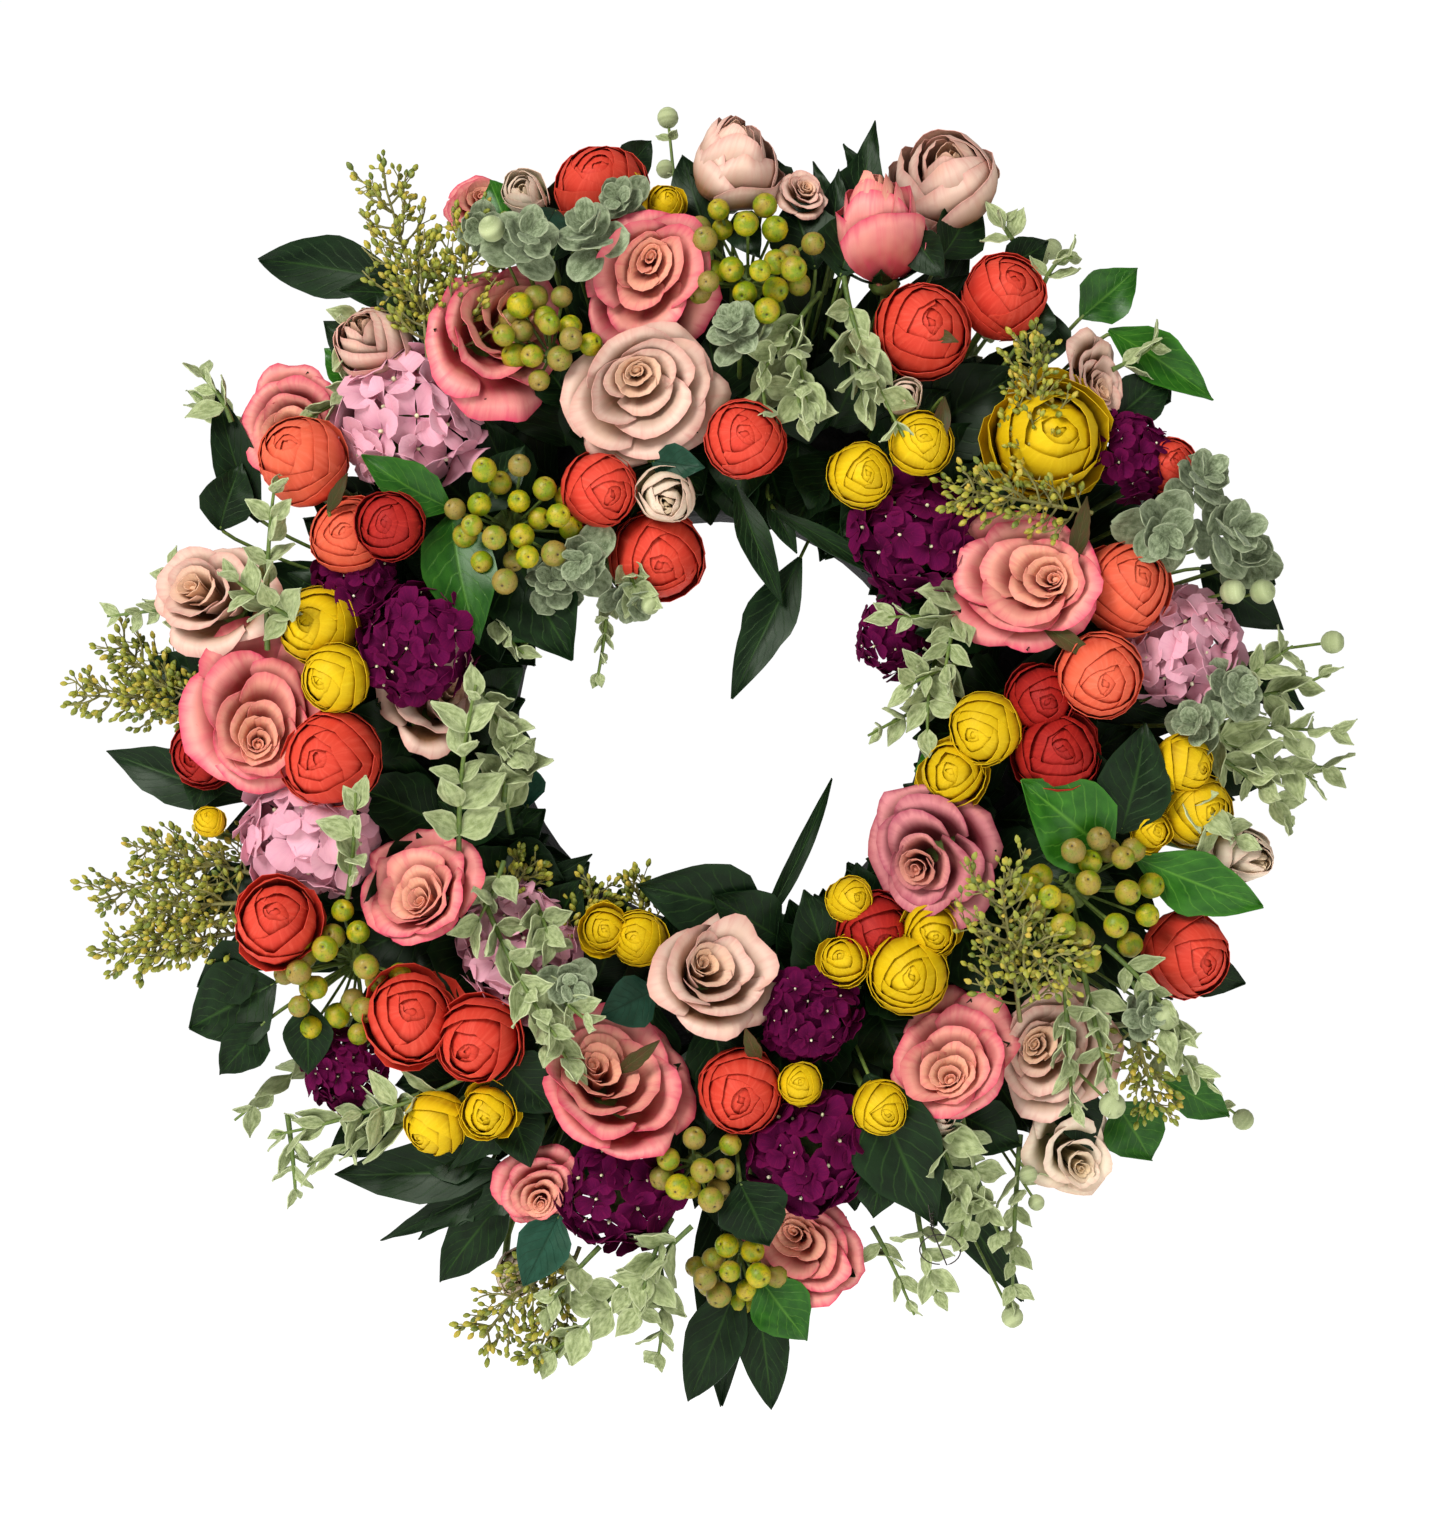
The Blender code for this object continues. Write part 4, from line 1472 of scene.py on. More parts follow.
@dataclass(frozen=True)
class Sprig:
    """Pairs of leaves up a stem, smaller towards the tip."""

    run: Run
    finish: Finish = Finish.SAGE
    leaf_length: float = 24 * MM
    leaf_width: float = 15 * MM
    pairs: int = 6
    outline: Outline = Outline.OVATE
    start: float = 0.18
    shrink: float = 0.45
    splay: float = 0.95
    curl: float = -0.5
    teeth: int = 0
    balls: int = 0
    stalk: Finish = Finish.STALK

    def bundle(self, rng: np.random.Generator) -> Bundle:
        """Grow the sprig in world axes."""
        made = Bundle((self.finish, self.stalk))
        path = self.run.path(24)
        made.add(Patch.tube(path, np.linspace(1.5, 0.7, 24) * MM, 6, 1), rng.uniform())
        for pair in range(self.pairs):
            share = self.start + (1 - self.start) * (pair + 0.4) / self.pairs
            self.add_pair(made, path, share, pair, rng)
        for ball in range(self.balls):
            self.add_ball(made, path, ball, rng)
        return made

    def add_pair(
        self, made: Bundle, path: Array, share: float, pair: int, rng: np.random.Generator
    ) -> None:
        """Add two leaves across the stem; each pair is turned from the last."""
        at = min(int(share * (len(path) - 1)), len(path) - 2)
        ahead = unit(path[at + 1] - path[at])
        side = unit(np.cross(ahead, FRONT) + 1e-6)
        out = np.cross(side, ahead)
        turn = pair * 1.57 + rng.normal(0, 0.6)
        across = side * math.cos(turn) + out * math.sin(turn)
        for way in (-1, 1):
            size = (1 - self.shrink * share) * rng.uniform(0.70, 1.20)
            tilt = self.splay * rng.uniform(0.55, 1.4) * (1.2 - 0.5 * share)
            along = unit(ahead * math.cos(tilt) + across * way * math.sin(tilt) + FRONT * 0.12)
            along = unit(along + rng.normal(0, 0.20, 3))
            face = unit(ahead * 0.60 + FRONT * 0.70 + rng.normal(0, 0.42, 3))
            leaf = Leaf(
                self.leaf_length * size,
                self.leaf_width * size,
                self.outline,
                self.curl * rng.uniform(-0.6, 1.6),
                0.34,
                self.teeth,
                0.05,
                9,
                7,
            )
            stand = Stance.leaf(path[at], along, face)
            made.add(leaf.patch(rng).moved(stand), rng.uniform())

    def add_ball(self, made: Bundle, path: Array, ball: int, rng: np.random.Generator) -> None:
        """Add a flocked seed ball at the tip or beside it."""
        at = len(path) - 1 - 4 * ball
        size = 5.6 * MM * (1 - 0.12 * ball)
        centre = path[at] + rng.normal(0, 2.0, 3) * MM * ball
        ahead = unit(path[at] - path[at - 1])
        stance = Stance.facing(centre, ahead, rng.uniform(0, math.tau))
        made.add(berry_patch(size).moved(stance), rng.uniform())


@dataclass(frozen=True)
class Rosette:
    """Round leaves stacked in a rosette at the end of a stalk."""

    root: Array
    centre: Array
    aim: Array
    radius: float
    finish: Finish = Finish.EUCALYPTUS
    turns: int = 4
    outline: Outline = Outline.ROUND

    def bundle(self, rng: np.random.Generator) -> Bundle:
        """Grow the rosette in world axes."""
        made = Bundle((self.finish, Finish.STALK))
        stance = Stance.facing(self.centre, self.aim, rng.uniform(0, math.tau))
        for turn in range(self.turns):
            share = turn / max(self.turns - 1, 1)
            count = 3
            length = self.radius * (1.0 - 0.40 * share)
            lift = 0.05 + 0.85 * share + rng.uniform(0, 0.25)
            for number in range(count):
                angle = math.tau * (number + 0.5 * (turn % 2) + rng.uniform(-0.1, 0.1)) / count
                outward = np.array((math.cos(angle), math.sin(angle), 0.0))
                along = unit(outward + np.array((0, 0, lift)))
                face = np.array((0.0, 0.0, 1.0)) - outward * lift + rng.normal(0, 0.25, 3)
                foot = np.array((0.0, 0.0, 0.30 * self.radius * turn)) + outward * 1.2 * MM
                leaf = Leaf(
                    length * rng.uniform(0.9, 1.1),
                    length * rng.uniform(0.88, 1.02),
                    self.outline,
                    rng.uniform(-0.6, 0.5),
                    0.12,
                    0,
                    0.03,
                    12,
                    7,
                )
                stand = Stance.leaf(foot, along, face)
                made.add(leaf.patch(rng).moved(stand).moved(stance), rng.uniform())
        middle = (self.root + self.centre) / 2 - self.aim * 6 * MM
        path = curve_between(self.root, middle, self.centre, 8)
        made.add(Patch.tube(path, np.full(8, 1.2 * MM), 6, 1), rng.uniform())
        return made


@dataclass(frozen=True)
class Spray:
    """A bushy filler spray: a stem, branches and many small buds."""

    run: Run
    width: float = 40 * MM
    branches: int = 13
    buds: int = 6
    start: float = 0.25

    def bundle(self, rng: np.random.Generator) -> Bundle:
        """Grow the spray in world axes."""
        made = Bundle((Finish.BUD, Finish.BROWN_STALK))
        path = self.run.path(24)
        made.add(Patch.tube(path, np.linspace(1.3, 0.6, 24) * MM, 5, 1), rng.uniform())
        for branch in range(self.branches):
            share = self.start + (1 - self.start) * (branch + 0.5) / self.branches
            at = min(int(share * 23), 22)
            ahead = unit(path[at + 1] - path[at])
            side = unit(np.cross(ahead, FRONT) + 1e-6)
            out = np.cross(side, ahead)
            turn = branch * GOLDEN_TURN
            across = side * math.cos(turn) + out * math.sin(turn) * 0.6
            length = self.width / 2 * rng.uniform(0.65, 1.15) * (1.1 - 0.45 * share)
            tip = path[at] + (across * 0.85 + ahead * 0.75) * length
            middle = path[at] + (across * 0.6 + ahead * 0.2) * length
            twig = curve_between(path[at], middle, tip, 8)
            made.add(Patch.tube(twig, np.linspace(0.7, 0.4, 8) * MM, 5, 1), rng.uniform())
            self.add_buds(made, twig, rng)
        return made

    def add_buds(self, made: Bundle, twig: Array, rng: np.random.Generator) -> None:
        """Set buds along a twig, on short stalks."""
        for bud in range(self.buds):
            at = min(2 + int(bud * 5.5 / self.buds), 6)
            ahead = unit(twig[at + 1] - twig[at])
            spread = unit(ahead * 0.9 + rng.normal(0, 0.65, 3))
            stalk = twig[at] + spread * rng.uniform(2.5, 6.0) * MM
            neck = np.stack((twig[at], (twig[at] + stalk) / 2, stalk))
            made.add(Patch.tube(neck, np.full(3, 0.35 * MM), 3, 1), rng.uniform())
            stance = Stance.facing(stalk, unit(spread + ahead * 0.5), rng.uniform(0, math.tau))
            length = rng.uniform(3.4, 5.6) * MM
            made.add(bud_patch(length, length * 0.62).moved(stance), rng.uniform())


@dataclass(frozen=True)
class Blade:
    """One leaf by its two ends, with the direction its face looks in."""

    root: Array
    tip: Array
    width: float
    face: Array
    outline: Outline = Outline.OVATE
    curl: float = 0.35
    fold: float = 0.28
    teeth: int = 0
    part: int = 0

    def add_to(self, bundle: Bundle, rng: np.random.Generator) -> None:
        """Add the leaf and its stalk."""
        span = self.tip - self.root
        length = float(np.linalg.norm(span)) * (1 + 0.05 * self.curl**2)
        leaf = Leaf(length, self.width, self.outline, self.curl, self.fold, self.teeth, 0.035)
        ahead = unit(span)
        face = unit(self.face - ahead * float(np.dot(self.face, ahead)))
        lifted = unit(ahead + face * math.tan(self.curl * 0.42))
        stance = Stance.leaf(self.root, lifted, face)
        bundle.add(leaf.patch(rng, 1.0, self.part).moved(stance), rng.uniform())


# ---------------------------------------------------------------------------------------------
# Planting plan
# ---------------------------------------------------------------------------------------------


class Kind(Enum):
    """Every kind of head: the record's material slot and how it grows."""

    PINK_ROSE = ("pink_petals", Rose(Finish.PINK))
    PINK_CUP = ("pink_petals", Rose(Finish.PINK, whorls=CUPPED_ROSE))
    PINK_TALL = ("pink_petals", Rose(Finish.PINK, whorls=TALL_ROSE))
    DUSTY_ROSE = ("pink_petals", Rose(Finish.DUSTY))
    BLUSH_ROSE = ("blush_petals", Rose(Finish.BLUSH))
    BLUSH_CUP = ("blush_petals", Rose(Finish.BLUSH, whorls=CUPPED_ROSE))
    BLUSH_TALL = ("blush_petals", Rose(Finish.BLUSH, whorls=BUD))
    CREAM_CUP = ("blush_petals", Rose(Finish.CREAM, whorls=CUPPED_ROSE))
    CREAM_BUD = ("blush_petals", Rose(Finish.CREAM, whorls=BUD))
    CORAL = ("coral_petals", Ranunculus(Finish.CORAL))
    SALMON = ("coral_petals", Ranunculus(Finish.SALMON))
    CORAL_OPEN = ("coral_petals", Ranunculus(Finish.CORAL, gape=0.5))
    SCARLET = ("coral_petals", Ranunculus(Finish.SCARLET, gape=0.25))
    YELLOW = ("yellow_petals", Ranunculus(Finish.YELLOW))
    YELLOW_OPEN = ("yellow_petals", Ranunculus(Finish.YELLOW, gape=0.6))
    PINK_HYDRANGEA = ("pink_florets", Hydrangea(Finish.LILAC, florets=24, floret_size=0.44))
    PURPLE_HYDRANGEA = ("purple_florets", Hydrangea(Finish.PURPLE, florets=30, floret_size=0.36))
    BERRIES = ("berries", Berries())

    @property
    def slot(self) -> str:
        """The record's material slot."""
        return self.value[0]

    @property
    def bloom(self) -> Bloom:
        """How it grows."""
        return self.value[1]


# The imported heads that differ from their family's usual form, or face another way: the kind, then
# how far the head faces right, up and forward.
FORMS: dict[str, tuple[Kind, tuple[float, float, float] | None]] = {
    "pink_rose_01": (Kind.PINK_ROSE, (0.45, 0.30, 0.85)),
    "pink_rose_02": (Kind.PINK_CUP, (-0.05, -0.10, 1.0)),
    "pink_rose_03": (Kind.PINK_ROSE, (0.10, 0.10, 1.0)),
    "pink_rose_04": (Kind.PINK_ROSE, (-0.35, 0.35, 0.85)),
    "pink_rose_05": (Kind.PINK_ROSE, (0.10, 0.45, 0.85)),
    "pink_rose_06": (Kind.PINK_ROSE, (-0.20, 0.20, 0.95)),
    "pink_rose_07": (Kind.DUSTY_ROSE, (-0.20, -0.10, 0.95)),
    "pink_rose_08": (Kind.PINK_ROSE, (-0.20, 0.30, 0.95)),
    "pink_rose_09": (Kind.PINK_ROSE, (-0.20, 0.10, 0.95)),
    "rose_bud_01": (Kind.PINK_TALL, (-0.06, 0.80, 0.42)),
    "blush_rose_01": (Kind.BLUSH_ROSE, (0.12, -0.05, 1.0)),
    "blush_rose_02": (Kind.BLUSH_CUP, (0.35, 0.30, 0.85)),
    "blush_rose_03": (Kind.BLUSH_ROSE, (-0.10, 0.10, 1.0)),
    "blush_rose_04": (Kind.BLUSH_CUP, (-0.35, 0.25, 0.85)),
    "blush_rose_05": (Kind.CREAM_CUP, (0.30, -0.20, 0.90)),
    "blush_rose_06": (Kind.BLUSH_CUP, (0.20, 0.30, 0.90)),
    "blush_rose_07": (Kind.BLUSH_TALL, (0.20, 0.62, 0.60)),
    "blush_rose_08": (Kind.BLUSH_TALL, (-0.25, 0.45, 0.85)),
    "coral_ranunculus_02": (Kind.CORAL, (0.10, 0.05, 1.0)),
    "coral_ranunculus_04": (Kind.SALMON, (-0.25, 0.25, 0.90)),
    "coral_ranunculus_07": (Kind.CORAL_OPEN, (0.05, 0.25, 0.95)),
    "coral_ranunculus_08": (Kind.CORAL_OPEN, (0.10, 0.15, 0.95)),
    "coral_ranunculus_10": (Kind.SCARLET, (0.05, 0.10, 0.95)),
    "coral_ranunculus_11": (Kind.SALMON, (0.30, 0.20, 0.90)),
    "yellow_ranunculus_02": (Kind.YELLOW_OPEN, (0.10, 0.10, 0.95)),
}
FAMILIES = {
    "pink_rose": Kind.PINK_ROSE,
    "blush_rose": Kind.BLUSH_ROSE,
    "rose_bud": Kind.PINK_TALL,
    "coral_ranunculus": Kind.CORAL,
    "yellow_ranunculus": Kind.YELLOW,
    "pink_hydrangea": Kind.PINK_HYDRANGEA,
    "purple_hydrangea": Kind.PURPLE_HYDRANGEA,
    "berry_cluster": Kind.BERRIES,
}

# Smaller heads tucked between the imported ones: kind, millimetres right of the ring's centre and
# above it, the open radius, and extra millimetres forward.
TUCKED = (
    (Kind.PINK_ROSE, -212, 150, 30, -14),
    (Kind.PINK_ROSE, -90, -231, 22, -4),
    (Kind.PINK_CUP, -120, 253, 20, -10),
    (Kind.BLUSH_ROSE, 187, 173, 22, -4),
    (Kind.BLUSH_TALL, -172, 188, 20, 0),
    (Kind.CREAM_BUD, 257, -66, 18, 2),
    (Kind.BLUSH_CUP, 40, 261, 14, 4),
    (Kind.CREAM_BUD, -97, 263, 13, 4),
    (Kind.CREAM_BUD, -27, 113, 15, 6),
    (Kind.CREAM_BUD, 92, 161, 10, 0),
    (Kind.CREAM_BUD, 110, -199, 11, 8),
    (Kind.CREAM_BUD, -102, -274, 12, 0),
    (Kind.CORAL, 12, 141, 20, 6),
    (Kind.SALMON, -185, 93, 20, 4),
    (Kind.SCARLET, -165, 98, 17, 18),
    (Kind.CORAL, -60, 116, 19, 4),
    (Kind.SCARLET, -257, -16, 17, -4),
    (Kind.CORAL_OPEN, -120, -159, 21, 4),
    (Kind.SCARLET, 160, 11, 17, 0),
    (Kind.SALMON, 190, 23, 21, 10),
    (Kind.CORAL, 224, 128, 15, 0),
    (Kind.SCARLET, 77, -104, 19, -10),
    (Kind.YELLOW, -192, 21, 17, 12),
    (Kind.YELLOW, 132, -4, 18, 6),
    (Kind.YELLOW_OPEN, 117, -26, 16, 0),
    (Kind.YELLOW, 232, -21, 15, 8),
    (Kind.YELLOW_OPEN, 215, -54, 10, 4),
    (Kind.YELLOW, 100, 138, 16, 10),
    (Kind.YELLOW, 70, 123, 16, 4),
    (Kind.YELLOW, 65, -89, 12, 2),
    (Kind.YELLOW_OPEN, 62, -119, 12, 0),
    (Kind.YELLOW_OPEN, 106, -104, 14, 0),
    (Kind.YELLOW, 80, -193, 14, 14),
    (Kind.YELLOW, -142, -201, 16, 4),
    (Kind.YELLOW_OPEN, -115, -194, 14, 4),
    (Kind.YELLOW, -40, -109, 14, -6),
    (Kind.YELLOW_OPEN, -57, -104, 12, -6),
    (Kind.YELLOW, 40, -181, 11, 8),
    (Kind.YELLOW, -47, 267, 10, 6),
    (Kind.YELLOW_OPEN, -27, 258, 10, 4),
    (Kind.YELLOW, -255, -50, 8, 0),
    (Kind.PINK_HYDRANGEA, -100, -114, 34, -22),
    (Kind.PURPLE_HYDRANGEA, -180, 68, 26, -10),
    (Kind.PURPLE_HYDRANGEA, 205, 132, 26, -6),
    (Kind.PURPLE_HYDRANGEA, 45, -146, 27, -6),
    (Kind.PURPLE_HYDRANGEA, -187, -174, 24, -14),
    (Kind.PURPLE_HYDRANGEA, 88, 45, 24, -30),
    (Kind.BERRIES, -87, 191, 24, 10),
    (Kind.BERRIES, -10, -224, 20, 10),
    (Kind.BERRIES, 7, -274, 22, 6),
)

# Leafy stems over and between the heads: each row starts and ends at millimetres right, above and
# forward, then gives the leaf's length and width and how many pairs.
SAGE_STEMS = (
    ((-226, 36, 88), (-222, 120, 112), 23, 14, 6),
    ((-205, 48, 95), (-246, 74, 112), 22, 13, 4),
    ((-130, -78, 92), (-122, 18, 122), 26, 16, 6),
    ((-108, -40, 90), (-102, -8, 104), 20, 13, 3),
    ((-186, -88, 90), (-182, -36, 118), 23, 15, 4),
    ((-120, -84, 90), (-82, -158, 124), 24, 15, 7),
    ((-98, -120, 96), (-64, -152, 122), 22, 14, 4),
    ((62, 222, 82), (92, 142, 116), 24, 15, 6),
    ((30, 210, 86), (44, 154, 114), 22, 14, 5),
    ((50, 214, 84), (20, 172, 106), 20, 12, 4),
    ((128, 52, 70), (84, 52, 94), 22, 11, 4),
    ((124, 30, 70), (92, 16, 92), 22, 11, 4),
    ((118, 14, 66), (74, -7, 84), 20, 10, 4),
    ((-56, 96, 70), (-62, 18, 74), 14, 9, 7),
    ((-44, 82, 80), (-36, 60, 92), 18, 12, 4),
    ((180, -118, 96), (198, -192, 110), 20, 10, 7),
    ((192, -112, 92), (232, -158, 96), 18, 9, 6),
    ((150, -206, 70), (146, -296, 58), 17, 10, 8),
    ((118, -226, 84), (120, -262, 92), 20, 13, 4),
    ((76, -252, 60), (97, -296, 56), 18, 7, 4),
    ((-42, -270, 74), (-90, -318, 52), 22, 15, 5),
    ((-30, -272, 78), (-32, -322, 60), 20, 13, 4),
    ((-14, -252, 86), (-62, -302, 72), 24, 16, 5),
    ((-24, -248, 80), (-40, -300, 80), 24, 15, 5),
    ((-60, -262, 70), (-88, -296, 62), 20, 13, 4),
    ((-150, -186, 74), (-222, -206, 60), 24, 11, 6),
    ((-140, -196, 76), (-206, -222, 62), 24, 11, 6),
    ((-128, -178, 84), (-186, -196, 74), 24, 12, 5),
    ((-104, -56, 78), (-98, -12, 98), 26, 17, 4),
    ((-92, -90, 84), (-84, -112, 104), 24, 16, 4),
    ((128, 70, 74), (112, 20, 100), 26, 14, 5),
    ((112, 44, 66), (104, -12, 88), 22, 12, 4),
    ((172, -128, 98), (176, -196, 112), 20, 10, 7),
    ((206, -130, 92), (246, -182, 88), 18, 9, 6),
    ((160, 214, 66), (176, 232, 72), 18, 10, 3),
    ((-122, 22, 88), (-98, -20, 104), 25, 17, 4),
    ((-114, 60, 84), (-98, 34, 94), 20, 13, 3),
    ((28, 198, 80), (42, 148, 98), 27, 18, 4),
    ((54, 196, 84), (72, 158, 98), 26, 17, 4),
    ((18, 176, 84), (24, 140, 98), 25, 17, 3),
    ((-108, -70, 92), (-124, -106, 100), 25, 16, 3),
    ((-88, -128, 100), (-72, -176, 106), 25, 16, 4),
    ((104, -194, 92), (124, -248, 92), 22, 14, 5),
    ((120, -190, 90), (142, -262, 84), 20, 12, 6),
    ((98, -240, 70), (110, -290, 62), 20, 12, 4),
    ((-240, 20, 56), (-276, 66, 56), 20, 11, 5),
    ((-180, 176, 70), (-206, 152, 74), 18, 11, 4),
    ((222, -34, 88), (262, -62, 84), 22, 13, 5),
    ((196, 176, 66), (220, 190, 62), 18, 10, 3),
    ((-244, 150, 60), (-262, 176, 58), 18, 10, 3),
    ((-178, 206, 60), (-190, 176, 72), 20, 12, 4),
    ((-262, 60, 60), (-306, 53, 52), 16, 8, 4),
    ((-258, 74, 62), (-274, 80, 66), 15, 9, 3),
    ((-216, -196, 56), (-212, -238, 52), 19, 10, 3),
    ((244, 6, 70), (286, 38, 62), 24, 14, 5),
    ((238, -12, 74), (286, -52, 62), 22, 12, 6),
    ((262, 14, 60), (306, 26, 52), 22, 13, 4),
    ((230, 2, 80), (312, -4, 56), 24, 14, 7),
    ((232, -4, 78), (298, -30, 58), 24, 14, 6),
    ((150, 236, 60), (140, 252, 62), 16, 9, 3),
)
ROSETTES = (
    (-100, 236, 96, 20),
    (-62, 236, 98, 20),
    (-47, 258, 84, 15),
    (-118, 246, 84, 14),
    (218, 96, 92, 22),
    (246, 92, 82, 22),
    (236, 116, 80, 18),
    (262, 80, 66, 18),
    (-66, 80, 96, 19),
    (-84, 66, 88, 16),
    (-48, 64, 82, 15),
    (10, 190, 100, 17),
    (252, 14, 84, 18),
    (240, -2, 86, 16),
    (-76, -130, 108, 15),
    (210, -146, 90, 13),
)
SEED_BALLS = (
    (256, 65, 84, 6.4),
    (271, 65, 80, 6.4),
    (306, 40, 60, 6.0),
    (292, -13, 66, 5.6),
    (-114, 246, 106, 6.6),
    (-35, 58, 94, 4.8),
    (223, -148, 100, 6.2),
    (196, -192, 110, 6.6),
    (146, -297, 58, 5.6),
    (154, -226, 74, 4.6),
    (158, -240, 70, 4.2),
    (118, -190, 96, 4.4),
)
SPRAYS = (
    ((-140, 178, 84), (-168, 270, 74), 54),
    ((-134, 180, 90), (-124, 250, 82), 46),
    ((160, 120, 96), (156, 190, 108), 38),
    ((186, 104, 100), (118, 116, 112), 40),
    ((150, -150, 96), (140, -78, 122), 62),
    ((128, -104, 100), (174, -124, 122), 46),
    ((-78, -258, 64), (-118, -306, 52), 40),
    ((-70, -262, 60), (-92, -318, 50), 26),
    ((-110, -96, 66), (-96, -72, 78), 30),
    ((-74, -112, 66), (-60, -84, 76), 26),
    ((-36, -104, 60), (-42, -80, 66), 22),
    ((206, -150, 88), (218, -192, 92), 36),
    ((-224, -18, 52), (-302, 40, 36), 40),
    ((-240, -96, 52), (-304, -116, 38), 40),
    ((-226, -10, 60), (-284, 22, 48), 36),
    ((-236, 4, 50), (-296, 14, 40), 30),
    ((-234, -90, 60), (-284, -92, 52), 36),
    ((-232, -104, 54), (-286, -112, 48), 34),
    ((-146, 182, 90), (-150, 232, 86), 40),
    ((-232, -76, 56), (-288, -62, 44), 34),
)

